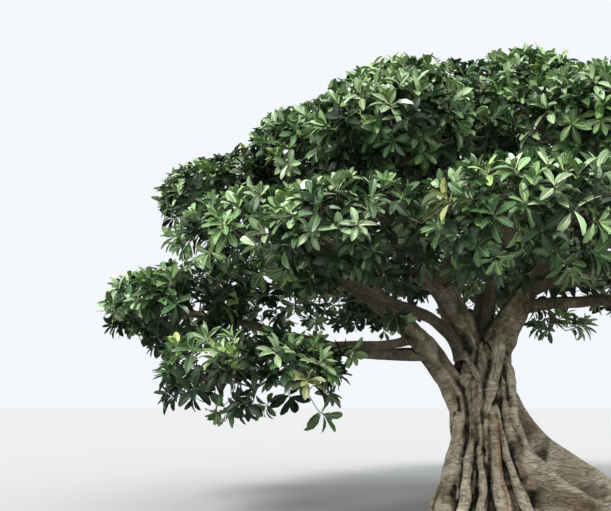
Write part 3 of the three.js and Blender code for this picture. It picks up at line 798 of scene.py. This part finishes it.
# Finishes
class Finish:
    """The nodes of a material or of the sky, built up step by step."""

    def __init__(self, owner):
        self.owner = owner
        owner.use_nodes = True
        self.nodes = owner.node_tree.nodes

    def feed(self, socket, value):
        """Links a socket to an output, or sets it to a number or colour."""
        if isinstance(value, bpy.types.NodeSocket):
            self.owner.node_tree.links.new(value, socket)
        elif socket.type == "RGBA":
            socket.default_value = (*value, 1)
        else:
            socket.default_value = value

    def place(self, kind="Object"):
        return self.nodes.new("ShaderNodeTexCoord").outputs[kind]

    def stored(self, name, output="Fac"):
        attribute = self.nodes.new("ShaderNodeAttribute")
        attribute.attribute_name = name
        return attribute.outputs[output]

    def split(self, vector):
        parts = self.nodes.new("ShaderNodeSeparateXYZ")
        self.feed(parts.inputs["Vector"], vector)
        return parts.outputs["X"], parts.outputs["Y"], parts.outputs["Z"]

    def noise(self, source, scale, detail=2, stretch=(1, 1, 1)):
        mapping = self.nodes.new("ShaderNodeMapping")
        self.feed(mapping.inputs["Scale"], stretch)
        self.feed(mapping.inputs["Vector"], source)
        texture = self.nodes.new("ShaderNodeTexNoise")
        self.feed(texture.inputs["Scale"], scale)
        self.feed(texture.inputs["Detail"], detail)
        self.feed(texture.inputs["Vector"], mapping.outputs["Vector"])
        return texture.outputs["Fac"]

    def calculated(self, operation, first, second=0):
        node = self.nodes.new("ShaderNodeMath")
        node.operation = operation
        self.feed(node.inputs[0], first)
        self.feed(node.inputs[1], second)
        return node.outputs["Value"]

    def times(self, first, second):
        return self.calculated("MULTIPLY", first, second)

    def minus(self, first, second):
        return self.calculated("SUBTRACT", first, second)

    def stretched(self, value, low, high, top=1.0, bottom=0.0):
        """From bottom to top as a value goes from low to high."""
        span = self.nodes.new("ShaderNodeMapRange")
        ends = {"From Min": low, "From Max": high, "To Min": bottom, "To Max": top, "Value": value}
        for key, end in ends.items():
            self.feed(span.inputs[key], end)
        return span.outputs["Result"]

    def creases(self, value, width, top=1.0):
        """High where a noise passes its middle value, so along thin winding lines."""
        away = self.calculated("ABSOLUTE", self.minus(value, 0.5))
        return self.stretched(away, width, 0, top)

    def ramp(self, factor, stops):
        node = self.nodes.new("ShaderNodeValToRGB")
        elements = node.color_ramp.elements
        while len(elements) < len(stops):
            elements.new(0.5)
        for element, (at, colour) in zip(elements, stops):
            element.position = at
            element.color = (*colour, 1)
        self.feed(node.inputs["Fac"], factor)
        return node.outputs["Color"]

    def mixed(self, factor, under, over):
        mix = self.nodes.new("ShaderNodeMix")
        mix.data_type = "RGBA"
        self.feed(mix.inputs["Factor"], factor)
        colours = [socket for socket in mix.inputs if socket.type == "RGBA"]
        self.feed(colours[0], under)
        self.feed(colours[1], over)
        return [socket for socket in mix.outputs if socket.type == "RGBA"][0]

    def bumped(self, height, strength, distance):
        bump = self.nodes.new("ShaderNodeBump")
        self.feed(bump.inputs["Strength"], strength)
        self.feed(bump.inputs["Distance"], distance)
        self.feed(bump.inputs["Height"], height)
        self.feed(self.nodes["Principled BSDF"].inputs["Normal"], bump.outputs["Normal"])

    def done(self, colour, roughness, shine=0.5):
        skin = self.nodes["Principled BSDF"].inputs
        self.feed(skin["Base Color"], colour)
        self.feed(skin["Roughness"], roughness)
        self.feed(skin["Specular IOR Level"], shine)
        return self.owner


def new_finish(name):
    return Finish(bpy.data.materials.new(name))


def shade(colour, by):
    return tuple(min(1, channel * by) for channel in colour)


def leaf_finish(name, colour, rib, gloss, shine):
    """A leaf's skin: each leaf lighter or darker, with a pale rib, faint side veins and a waxy gloss."""
    finish = new_finish(name)
    across, along, tone = finish.split(finish.stored("blade", "Vector"))
    across = finish.calculated("ABSOLUTE", across)
    mottle = finish.noise(finish.place(), 5.5, 3)
    tone = finish.times(finish.calculated("ADD", tone, mottle), 0.5)
    skin = finish.ramp(tone, [(0.34, shade(colour, 0.66)), (0.5, colour), (0.66, shade(colour, 1.36))])
    steps = finish.minus(finish.times(along, VEINS), finish.times(across, VEIN_SLANT))
    veins = finish.stretched(finish.calculated("FRACT", steps), 0.22, 0.04, 0.30)
    skin = finish.mixed(veins, skin, rib)
    thin = finish.times(finish.minus(1.15, along), RIB_HALF)
    near = finish.calculated("DIVIDE", across, thin)
    skin = finish.mixed(finish.stretched(near, 1.15, 0.75), skin, rib)
    finish.bumped(finish.noise(finish.place(), 70), 0.25, 0.004)
    return finish.done(skin, gloss, shine)


def soft_finish(name, colour, roughness):
    """A small growing thing, such as a twig or bud, with a slightly uneven colour."""
    finish = new_finish(name)
    stops = [(0.35, shade(colour, 0.8)), (0.65, shade(colour, 1.15))]
    return finish.done(finish.ramp(finish.noise(finish.place(), 14), stops), roughness)


BARK_TONES = [(0.30, (0.070, 0.054, 0.032)), (0.46, (0.215, 0.176, 0.110)), (0.63, (0.580, 0.500, 0.350))]


def bark_finish():
    """Grey-brown bark under a list of layers, each a mask and the colour that it lays on."""
    finish = new_finish("fig_bark")
    place = finish.place()
    lie = finish.stored("lie", "Vector")

    def patches(scale, detail, low, high, top=1.0, upright=1):
        return finish.stretched(finish.noise(place, scale, detail, (1, 1, upright)), low, high, top)

    wrinkles = finish.noise(lie, 1, 5, (5.5, 5.5, 27))
    folds = finish.noise(lie, 1, 3, (3.2, 3.2, 9))
    layers = {
        "stained": (patches(2.5, 6, 0.53, 0.64, 0.72, 0.4), (0.060, 0.048, 0.032)),
        "pale": (patches(1.9, 8, 0.53, 0.61, 0.90, 0.55), (0.730, 0.650, 0.490)),
        "speckled": (patches(26, 4, 0.60, 0.72, 0.55), (0.700, 0.650, 0.540)),
        "warm": (patches(1.5, 5, 0.50, 0.62, 0.55, 0.7), (0.340, 0.220, 0.130)),
        "mossy": (finish.times(finish.stored("moss"), patches(3.6, 6, 0.28, 0.48)), (0.072, 0.074, 0.030)),
        "worn": (finish.stretched(finish.stored("ridge"), 0.12, 0.8, 0.70), (0.670, 0.595, 0.440)),
        "rusty": (finish.stored("rust"), (0.440, 0.245, 0.135)),
        # painted shadow: thin limbs and the undersides of limbs darkened as if shaded
        "painted_shadow": (finish.times(finish.stored("shadow"), 0.80), (0.056, 0.045, 0.024)),
        "wrinkled": (
            finish.times(finish.creases(wrinkles, 0.022, 0.45), patches(2.2, 3, 0.47, 0.62)),
            (0.050, 0.040, 0.028),
        ),
        "folded": (finish.creases(folds, 0.012, 0.60), (0.040, 0.032, 0.022)),
        # painted shade: near black in the creases and recesses, where shade falls
        "painted_crevice_shade": (
            finish.times(finish.stretched(finish.stored("painted_crevice_shade"), 0.12, 0.70), patches(9, 4, 0.15, 0.5)),
            (0.014, 0.012, 0.007),
        ),
    }
    colour = finish.ramp(finish.noise(place, 3.2, 6), BARK_TONES)
    for mask, laid_on in layers.values():
        colour = finish.mixed(mask, colour, laid_on)

    grain = finish.times(finish.noise(place, 42, 7), 0.7)
    relief = finish.minus(grain, finish.creases(wrinkles, 0.06, 0.55))
    relief = finish.minus(relief, finish.creases(folds, 0.03, 1.1))
    relief = finish.calculated("ADD", relief, finish.times(finish.noise(place, 11, 5), 2.2))
    finish.bumped(relief, 0.9, 0.020)
    return finish.done(colour, 0.80, 0.3)


# Wood
VOXEL = 0.0145  # cell size of the bark as it grows together
KEPT_TRIANGLES = 0.48  # share of its triangles that the bark keeps
TRUNK_GRID = (520, 150)  # points round the trunk and up it
CORD_SPACING = 0.016  # between the points of a cord's skin, and of a bough's
BOUGH_SPACING = 0.022


def select_only(*things):
    """Selects some things and nothing else, and makes the first one active."""
    for thing in list(bpy.context.selected_objects):
        thing.select_set(False)
    for thing in things:
        thing.select_set(True)
        bpy.context.view_layer.objects.active = things[0]


def coordinates(thing):
    return read(thing.data.vertices, "co", 3).astype(float)


def place_vertices(thing, points):
    thing.data.vertices.foreach_set("co", np.asarray(points, np.float32).ravel())
    thing.data.update()


@contextmanager
def edit_mode(everything=True):
    """Edit mode of the active mesh for one block, with everything or only its marked faces selected."""
    bpy.ops.object.mode_set(mode="EDIT")
    if everything:
        bpy.ops.mesh.select_all(action="SELECT")
    yield
    bpy.ops.object.mode_set(mode="OBJECT")


def wrapped(columns, rows, place):
    """A grid rolled into a closed shell: place gives the points for shares round it and along it."""
    select_only()
    bpy.ops.mesh.primitive_grid_add(x_subdivisions=columns, y_subdivisions=rows, size=2)
    shell = bpy.context.object
    flat = (coordinates(shell)[:, :2] + 1) / 2
    place_vertices(shell, place(flat[:, 0], flat[:, 1]))
    with edit_mode():
        bpy.ops.mesh.remove_doubles(threshold=1e-4)
        bpy.ops.mesh.fill_holes(sides=0)
        bpy.ops.mesh.select_all(action="SELECT")
        bpy.ops.mesh.normals_make_consistent(inside=False)
    return shell


def marked(spot, angle, height):
    """1 at a marked angle at the ground, fading to its sides and up to its top."""
    off = (np.degrees(angle) - spot["angle"] + 180) % 360 - 180
    return np.exp(-((off / spot["width"]) ** 2)) * np.sqrt(np.clip(1 - height / spot["top"], 0, 1))


# Relief over a round skin: its waves across and along, a shift of its noise, and its height, which is in
# metres on the trunk and in radii on a limb
TRUNK_RELIEF = {"flutes": (3.2, 0.9, 0, 0.038), "veins": (7.5, 1.6, 11, 0.022), "rings": (1.6, 13, 23, 0.009)}
LIMB_RELIEF = {"knobs": (1.1, 3.2, 0, 0.16), "veins": (2.6, 1.5, 7, 0.14), "rings": (0.7, 16, 17, 0.050)}
LUMPY = 0.016
CLEFTS = {"flutes": (0.10, 0.048), "veins": (0.09, 0.020)}  # width in the noise and depth in metres
SMOOTHED = 0.8  # share of the relief that the smooth root loses


def relief_waves(kinds, spin, along, seed=0):
    """Noise for each kind of relief at points round a skin and along it, and the height that they sum to."""
    waves = {}
    for kind, (across, lengthwise, shift, _) in kinds.items():
        waves[kind] = noise(np.c_[spin[:, :2] * across, along * lengthwise] + seed + shift)
    return waves, sum(kinds[kind][3] * wave for kind, wave in waves.items())


def column_place(turn, share):
    """Skin of the trunk with long flutes, clefts, lumps, rings and the recesses between its roots."""
    height = -BURIED + (FORK + BURIED) * share**1.15
    angle = turn * 2 * math.pi
    reach = trunk_radius(angle, height, wind=1.0)
    spin = around(angle)
    skin = trunk_middle(height) + spin * reach[:, None]
    waves, relief = relief_waves(TRUNK_RELIEF, spin, height)
    clefts = sum(np.exp(-((waves[kind] / width) ** 2)) * depth for kind, (width, depth) in CLEFTS.items())
    relief = relief + LUMPY * noise(skin * 5 + 31) - clefts
    relief *= 1 - SMOOTHED * marked(SMOOTH_ROOT, angle, height)
    for recess in RECESSES:
        relief -= recess["depth"] * marked(recess, angle, height)
    return skin + spin * relief[:, None]


def swept_place(points, radii, roughness, seed):
    """Skin of a limb or cord along a line, with knobs and rings in step with its girth."""
    _, sides, others = frames_along(points)
    length = length_of(points)

    def place(turn, share):
        angle = turn * 2 * math.pi
        middle = along_line(points, share)
        radius = along_line(radii[:, None], share)[:, 0]
        outward = (
            along_line(sides, share) * np.cos(angle)[:, None]
            + along_line(others, share) * np.sin(angle)[:, None]
        )
        _, relief = relief_waves(LIMB_RELIEF, around(angle), share * length, seed)
        return middle + unit(outward) * (radius * (1 + roughness * relief))[:, None]

    return place


def swept(points, radii, seed, roughness=1.0, spacing=BOUGH_SPACING):
    length = length_of(points)
    columns = int(np.clip(2 * math.pi * radii.max() / spacing, 10, 56))
    rows = max(6, int(length / (spacing * 1.2)))
    return wrapped(columns, rows, swept_place(points, radii, roughness, seed))


CORD_POINTS = 24
TOP_SUNK = 0.03  # how far a cord's top, and an end above the ground, sink into the trunk beyond its girth
END_SUNK = 0.05
CORD_LUMPS = 0.12  # share by which a cord swells and narrows
LONG_SWAY = 1.2  # degrees that a cord strays to its sides, in long and in short waves
SHORT_SWAY = 0.35


def cord_line(cord):
    """A root cord's line down the trunk's skin, and its girth along it, with ends that sink in and taper."""
    share = np.linspace(0, 1, CORD_POINTS)
    (top_angle, top), (foot_angle, foot) = cord["top"], cord["foot"]
    first, last = cord["radius"]
    height = top + (foot - top) * share
    standing = cord["off"] * share**2 - (first + TOP_SUNK) * np.exp(-share * 11)
    girth = first + (last - first) * share**1.5
    girth = girth * (1 + CORD_LUMPS * np.sin(share * 14 + foot_angle)) * (1 - 0.5 * np.exp(-share * 14))
    if foot > 0:
        standing -= (cord["off"] + 0.9 * last + END_SUNK) * np.exp((share - 1) * 8)
        girth = girth * (1 - 0.6 * np.exp((share - 1) * 12))
    sway = LONG_SWAY * np.sin(share * 8 + top_angle) + SHORT_SWAY * np.sin(share * 21 + foot_angle)
    spin = np.radians(top_angle + (foot_angle - top_angle) * share**0.8 + sway)
    reach = finned_radius(spin, height, wind=1.0) + standing
    return trunk_middle(height) + around(spin) * reach[:, None], girth


LINE_POINTS = 120
WINDING = (0.15, 0.35)  # how far a bough strays from its curve, as a share of its radius: main and side


def limb_line(name):
    """A bough's line and girth, carried on into the stem of its mass."""
    tip, onward, radius, end = stem_of(name)
    t = np.linspace(0, 1, 24)[1:, None]
    stem = arc(tip, tip + onward * STEM_KNEE * radius, end, t)
    points = np.concatenate([limbs[name]["points"][::4], stem])
    radii = np.concatenate([limbs[name]["radii"][::4], radius * (1 - 0.45 * t[:, 0])])
    line, _ = evenly(np.c_[points, radii], LINE_POINTS)
    sway, lift = (noise(line[:, :3] * 2.2 + shift) for shift in (50, 90))
    ease = np.sin(np.linspace(0, math.pi, LINE_POINTS)) ** 0.7
    amount = WINDING[0 if BOUGHS[name]["on_trunk"] else 1]
    off = np.stack([0.3 * sway, sway, lift], axis=1) * (amount * line[:, 3:] * ease[:, None])
    return line[:, :3] + off, line[:, 3]


def modify(thing, kind, **settings):
    """Applies a modifier of one kind to an active object."""
    modifier = thing.modifiers.new(kind, kind)
    for key, value in settings.items():
        setattr(modifier, key, value)
    bpy.ops.object.modifier_apply(modifier=modifier.name)


def whole_wood():
    """Trunk, cords and boughs grown together into one skin, with the line that each point belongs to."""
    shells = [wrapped(*TRUNK_GRID, column_place)]
    lines = [(trunk_middle(np.linspace(-BURIED, FORK, 60)), np.full(60, WAIST), "trunk")]
    for k, cord in enumerate(ROOT_CORDS + FINE_CORDS):
        points, radii = cord_line(cord)
        shells.append(swept(points, radii, 200 + 9 * k, roughness=0.9, spacing=CORD_SPACING))
    for k, name in enumerate(limbs):
        points, radii = limb_line(name)
        shells.append(swept(points, radii, 400 + 13 * k))
        lines.append((points, radii, name))
    select_only(*shells)
    bpy.ops.object.join()
    wood = bpy.context.object
    wood.name = "wood"
    modify(wood, "REMESH", mode="VOXEL", voxel_size=VOXEL)
    modify(wood, "SMOOTH", factor=0.5, iterations=2)
    modify(wood, "DECIMATE", ratio=KEPT_TRIANGLES)
    with edit_mode():
        bpy.ops.mesh.bisect(plane_co=(0, 0, 0), plane_no=(0, 0, 1), clear_inner=True, use_fill=True)
    points = coordinates(wood)
    points[:, 2] = np.maximum(points[:, 2], 0)
    place_vertices(wood, points)
    return wood, lines


def averaged(values, edges, rounds):
    """Each vertex's value averaged with its neighbours', several times over."""
    count = np.bincount(edges.ravel(), minlength=len(values)).astype(float)
    for _ in range(rounds):
        total = np.zeros_like(values)
        for column in range(values.shape[1]):
            total[:, column] = np.bincount(edges[:, 0], values[edges[:, 1], column], len(values))
            total[:, column] += np.bincount(edges[:, 1], values[edges[:, 0], column], len(values))
        values = total / np.maximum(count, 1)[:, None]
    return values


def store(mesh, name, values):
    kind = "FLOAT_VECTOR" if values.ndim == 2 else "FLOAT"
    attribute = mesh.attributes.new(name, kind, "POINT")
    key = "vector" if values.ndim == 2 else "value"
    attribute.data.foreach_set(key, np.asarray(values, np.float32).ravel())


LIE_SHIFT = 3.7  # keeps the wrinkles of one limb from repeating on the next
CREASE_DEPTH = 0.010  # how far a point lies below its surroundings in a full crease, and in a full valley: the scale of the painted crevice shade
VALLEY_DEPTH = 0.034
LIMBS_FROM = 1.3  # height where the moss of the limbs and the painted shadow of their undersides begin
DAMP_BELOW = 1.1  # height under which moss grows in the creases
RUSTY_CORD = ROOT_CORDS[1]
RUST_REACH = 0.12  # how far from the middle of that cord its rust fades
SHADOW_GIRTH = (0.08, 0.21)  # limbs go from painted shadow to plain between these radii


def mark_wood(wood, lines):
    """Stores how the bark lies along each limb, the painted shade of its creases and recesses, where it is
    worn, mossy or rust-coloured, and the painted shadow of thin limbs and undersides.
    """
    mesh = wood.data
    points = coordinates(wood)
    tree = KDTree(sum(len(line[0]) for line in lines))
    owners, shares = [], []
    total = 0
    for number, (line, _, _) in enumerate(lines):
        for k, at in enumerate(line):
            tree.insert(at, total)
            owners.append(number)
            shares.append(k)
            total += 1
    tree.balance()
    owners, shares = np.array(owners), np.array(shares)
    nearest = np.empty(len(points), int)
    for n, at in enumerate(points):
        found = tree.find_n(at, 6)
        nearest[n] = min(found, key=lambda hit: hit[2] - lines[owners[hit[1]]][1][shares[hit[1]]])[1]
    owner = owners[nearest]
    lie = points.copy()
    for number, (line, _, name) in enumerate(lines):
        if name == "trunk":
            continue
        mine = owner == number
        if not mine.any():
            continue
        along, sides, others = frames_along(line)
        step = np.linalg.norm(line[1] - line[0])
        at = shares[nearest[mine]]
        off = points[mine] - line[at]
        run = at * step + dots(off, along[at]) + number * LIE_SHIFT
        lie[mine] = np.c_[dots(off, sides[at]), dots(off, others[at]), run]
    store(mesh, "lie", lie)
    edges = read(mesh.edges, "vertices", 2, np.int32)
    normals = read(mesh.vertices, "normal", 3)
    near = averaged(points, edges, 11)
    far = averaged(near, edges, 45)
    sunk = averaged(dots(near - points, normals)[:, None] / CREASE_DEPTH, edges, 1)[:, 0]
    deep = averaged(dots(far - points, normals)[:, None] / VALLEY_DEPTH, edges, 1)[:, 0]
    # painted crevice shade: stronger where a point lies below its surroundings
    store(mesh, "painted_crevice_shade", limited(0.75 * np.maximum(sunk, 0) + 0.75 * np.maximum(deep, 0)))
    high = limited((points[:, 2] - LIMBS_FROM) / 1.2)
    store(mesh, "ridge", limited(-sunk) * (1 - 0.65 * high))
    low = limited(DAMP_BELOW - points[:, 2]) * limited(0.35 + sunk)
    store(mesh, "moss", limited(high * (0.75 + 0.3 * normals[:, 2]) + 0.8 * low))
    line, _ = cord_line(RUSTY_CORD)
    far = np.sqrt(((points[:, None, :] - line[None, 6:, :]) ** 2).sum(axis=2)).min(axis=1)
    streak = limited(1.4 - far / RUST_REACH) * limited(0.65 + normals[:, 0] * 1.6)
    store(mesh, "rust", 0.85 * streak)
    girth = np.array([lines[number][1][share] for number, share in zip(owner, shares[nearest])])
    # painted shadow on thin limbs, and on the undersides of limbs above LIMBS_FROM
    thin = limited((SHADOW_GIRTH[1] - girth) / (SHADOW_GIRTH[1] - SHADOW_GIRTH[0])) * (owner > 0)
    below = limited(-normals[:, 2] - 0.1) * limited((points[:, 2] - LIMBS_FROM) / 0.5)
    store(mesh, "shadow", limited(thin + 0.8 * below))
    return owner


def split_wood(wood, lines, owner, material):
    """Parts the wood into the trunk, the left boughs and the right boughs, each a piece of its own."""
    names = np.array([line[2] for line in lines])
    left = {name for name in BOUGHS if "left" in name or name == "front_mid"}
    groups = {"bark_trunk": {"trunk"}, "bark_left_boughs": left, "bark_right_boughs": set(BOUGHS) - left}
    corners = read(wood.data.loops, "vertex_index", kind=np.int32)
    starts = read(wood.data.polygons, "loop_start", kind=np.int32)
    of_face = owner[corners[starts]]
    wood.data.materials.clear()
    wood.data.materials.append(material)
    wood.data.polygons.foreach_set("use_smooth", np.ones(len(starts), bool))
    numbers = np.zeros(len(starts), np.int32)
    for number, members in enumerate(groups.values()):
        numbers[np.isin(names[of_face], list(members))] = number
    for number, (name, members) in enumerate(groups.items()):
        piece = wood.copy()
        piece.data = wood.data.copy()
        piece.name = name
        piece.data.name = name
        bpy.context.scene.collection.objects.link(piece)
        select_only(piece)
        bpy.context.tool_settings.mesh_select_mode = (False, False, True)
        piece.data.polygons.foreach_set("select", numbers != number)
        with edit_mode(everything=False):
            bpy.ops.mesh.delete(type="FACE")
        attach(piece, "root")
        nodes = ["trunk"] if "trunk" in members else ["bough_" + member for member in sorted(members)]
        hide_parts(*nodes)
    bpy.data.objects.remove(wood)


bark = bark_finish()
wood, wood_lines = whole_wood()
wood_owner = mark_wood(wood, wood_lines)
split_wood(wood, wood_lines, wood_owner, bark)

# Crown: the twigs and shoots of every mass, then its leaves by kind
# Leaf colours: the two darkest kinds are mostly painted shade for shaded shoots, and the two kinds given to
# shoots that face the sky and stand high are painted light
LEAF_KINDS = {
    "shade": {"colour": (0.012, 0.025, 0.010), "rib": (0.026, 0.045, 0.018), "gloss": 0.48, "shine": 0.2},
    "deep": {"colour": (0.040, 0.092, 0.030), "rib": (0.150, 0.230, 0.095), "gloss": 0.36, "shine": 0.45},
    "full": {"colour": (0.100, 0.195, 0.060), "rib": (0.360, 0.460, 0.200), "gloss": 0.30, "shine": 0.65},
    "pale_painted_lit": {"colour": (0.200, 0.300, 0.145), "rib": (0.500, 0.580, 0.330), "gloss": 0.27, "shine": 0.75},
    "fresh_painted_lit": {"colour": (0.215, 0.330, 0.085), "rib": (0.430, 0.520, 0.190), "gloss": 0.34, "shine": 0.6},
    "olive": {"colour": (0.225, 0.250, 0.090), "rib": (0.400, 0.400, 0.170), "gloss": 0.40, "shine": 0.5},
}
kind_names = list(LEAF_KINDS)
HIGH_FROM = 4.2  # height above which leaves are painted paler as if lit, and below which they are painted darker as if shaded
LOW_TO = 3.2


def kinds_for(centres, axes, shaded):
    """A leaf colour for each shoot: painted light, paler and yellower, where it faces the sky and high up,
    and painted shade, darker, where it faces down, low down and inside the crown.
    """
    light = limited(0.5 + 0.5 * axes[:, 2])
    dim = 1 - light
    high = limited((centres[:, 2] - HIGH_FROM) / 1.5)
    low = limited((LOW_TO - centres[:, 2]) / 1.2)
    # painted shade grows with dim, shaded and low; painted light grows with light and high
    weights = {
        "shade": 0.04 + 1.5 * dim**2 + (1.8 * shaded + 0.45 * low),
        "deep": 0.18 + 0.5 * dim + (0.7 * shaded + 0.50 * low),
        "full": 0.42 + 0 * light,
        "pale_painted_lit": 0.52 * light + (0.45 * high - 0.36 * low * light),
        "fresh_painted_lit": 0.12 * light**3 + 0.16 * high * light**2,
        "olive": 0.03 * light,
    }
    weights = np.stack([weights[kind] for kind in kind_names], axis=1)
    shares = np.cumsum(weights / weights.sum(axis=1, keepdims=True), axis=1)
    return (random.random(len(axes))[:, None] > shares).sum(axis=1)


all_twigs, all_shoots, all_leaves = [], [], []


def dress(at, centres, axes, shaded, level):
    """Adds leaves to some shoots and tells which shoots are grown."""
    leaves, grown = leaves_for(centres, axes, kinds_for(centres, axes, shaded), level)
    all_leaves.append(leaves)
    all_shoots.append((at[grown], centres[grown], axes[grown], shaded[grown]))
    return grown


for mass_order, mass_name in enumerate(MASSES):
    mass_twigs, ends, shaded, hanging = grow_mass(mass_name, mass_order)
    at = np.array([mass_twigs.at[node] for node in ends])
    onward = np.array([mass_twigs.direction(node) for node in ends])
    axes = skin_normal(mass_name, at) + onward * ONWARD + (0, 0, LIFT)
    axes = unit(axes + random.normal(0, SCATTER, at.shape))
    centres = at + axes * random.uniform(*SHOOT_LONG, len(at))[:, None]
    tip_level = hanging_habit(mass_name)["level"]
    least = np.where(hanging, tip_level, OUTER_LEVEL) * smallness(mass_name) ** 2
    grown = dress(at, centres, axes, shaded, least)
    for end in np.array(ends)[~grown]:
        mass_twigs.carry(end, -1)
    all_twigs.append(mass_twigs)

for bough_name in BOUGHS:
    at, centres, axes = sprouts_on(bough_name)
    if len(at):
        # sprouts on the boughs count as well shaded, so their leaves are mostly painted shade
        dress(at, centres, axes, np.full(len(at), 0.8), np.zeros(len(at)))

leaf_rows = {key: np.concatenate([rows[key] for rows in all_leaves]) for key in all_leaves[0]}
leaf_shares, _, leaf_faces = leaf_template()
MOST_TRIANGLES = 190_000  # of one piece
for number, kind_name in enumerate(kind_names):
    mine = np.flatnonzero(leaf_rows["kind"] == number)
    finish = leaf_finish("leaf_" + kind_name, **LEAF_KINDS[kind_name])
    batches = math.ceil(len(mine) * len(leaf_faces) / MOST_TRIANGLES)
    for batch, some in enumerate(np.array_split(mine, batches)):
        shape = (leaf_rows[key][some] for key in ("root", "out", "face", "long", "fold", "arch"))
        points, across = leaf_points(*shape)
        offset = np.arange(len(some))[:, None, None] * points.shape[1]
        triangles = (leaf_faces + offset).reshape(-1, 3)
        piece = piece_from(f"leaves_{kind_name}_{batch + 1}", points.reshape(-1, 3), triangles, finish)
        along = np.broadcast_to(leaf_shares, across.shape)
        tone = np.broadcast_to(leaf_rows["tone"][some][:, None], across.shape)
        store(piece.data, "blade", np.stack([across, along, tone], axis=2).reshape(-1, 3))

# Twigs of all masses, with more sides where they are thick
THICK = 3 * TWIG_TIP
THICK_SIDES = 6
THIN_SIDES = 3
parts = []
for twigs in all_twigs:
    at = np.array(twigs.at)
    parent = np.array(twigs.parent)
    load = np.maximum(np.array(twigs.load), 1)
    radius = np.minimum(TWIG_TIP * load**TWIG_POWER, twigs.radius)
    child = np.flatnonzero((parent > 0) & (np.array(twigs.load) > 0))
    below = parent[child]
    bases = at[below]
    lines = np.stack([bases - unit(at[child] - bases) * 0.3 * radius[below][:, None], at[child]], axis=1)
    start_radius = np.maximum(radius[child], np.minimum(radius[below], radius[child] * 1.3))
    widths = np.stack([start_radius, radius[child]], axis=1)
    thick = start_radius > THICK
    parts.append(tubes(lines[thick], widths[thick], THICK_SIDES))
    parts.append(tubes(lines[~thick], widths[~thick], THIN_SIDES))
for at, centres, _, _ in all_shoots:
    widths = np.tile((TWIG_TIP, 0.8 * TWIG_TIP), (len(at), 1))
    parts.append(tubes(np.stack([at, centres], axis=1), widths, THIN_SIDES))
twig_points, twig_triangles = joined(parts)
twig_finish = soft_finish("twig_bark", (0.105, 0.085, 0.055), 0.7)
twig_piece = piece_from("twigs", twig_points, twig_triangles, twig_finish)
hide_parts(*("leaves_" + name for name in MASSES))

# Buds at the ends of the shoots that get light
BUD_SHADE = 0.3  # a shoot more shaded than this shows no bud
BUD_LONG = (0.022, 0.045)
BUD_RADII = (0.005, 0.007, 0.001)
BUD_SIDES = 4
parts = []
for _, centres, axes, shaded in all_shoots:
    lit = shaded < BUD_SHADE
    start = centres[lit]
    tips = start + axes[lit] * random.uniform(*BUD_LONG, len(start))[:, None]
    lines = np.stack([start, (start * 2 + tips) / 3, tips], axis=1)
    parts.append(tubes(lines, np.tile(BUD_RADII, (len(start), 1)), BUD_SIDES))
bud_points, bud_triangles = joined(parts)
piece_from("buds", bud_points, bud_triangles, soft_finish("bud_skin", (0.36, 0.34, 0.10), 0.4))

# Floor, lights and camera
FLOOR_RADIUS = 90
select_only()
bpy.ops.mesh.primitive_circle_add(vertices=96, radius=FLOOR_RADIUS, fill_type="NGON", location=(0, 0, 0))
floor = bpy.context.object
floor.name = "floor"
floor.data.materials.append(new_finish("floor_plain").done((0.34, 0.34, 0.33), 0.9))

world = bpy.data.worlds.new("studio")
bpy.context.scene.world = world
sky = Finish(world)
_, _, rise = sky.split(sky.place("Generated"))
background = sky.nodes["Background"].inputs
sky.feed(background["Color"], (0.90, 0.93, 0.96))
sky.feed(background["Strength"], sky.stretched(rise, 0.45, 1.0, 2.2, 1.0))
bpy.context.scene.view_settings.view_transform = "Standard"


def sun(name, angle, climb, strength, spread):
    light = bpy.data.lights.new(name, "SUN")
    light.energy = strength
    light.angle = math.radians(spread)
    linked(name, light).rotation_euler = Vector(heading(angle, climb)).to_track_quat("Z", "Y").to_euler()


sun("key_light", angle=232, climb=43, strength=4.1, spread=22)
sun("fill_light", angle=275, climb=32, strength=0.5, spread=50)

EYE = (-2.49, -11.9, 1.5)
PITCH = 9.3
FOCUS_PIXELS = 850
IMAGE_WIDTH = 611
SENSOR = 36.0
lens = bpy.data.cameras.new("camera")
lens.sensor_width = SENSOR
lens.lens = SENSOR * FOCUS_PIXELS / IMAGE_WIDTH
lens.clip_end = 400
camera = linked("camera", lens)
camera.location = EYE
camera.rotation_euler = (math.radians(90 + PITCH), 0, 0)
bpy.context.scene.camera = camera
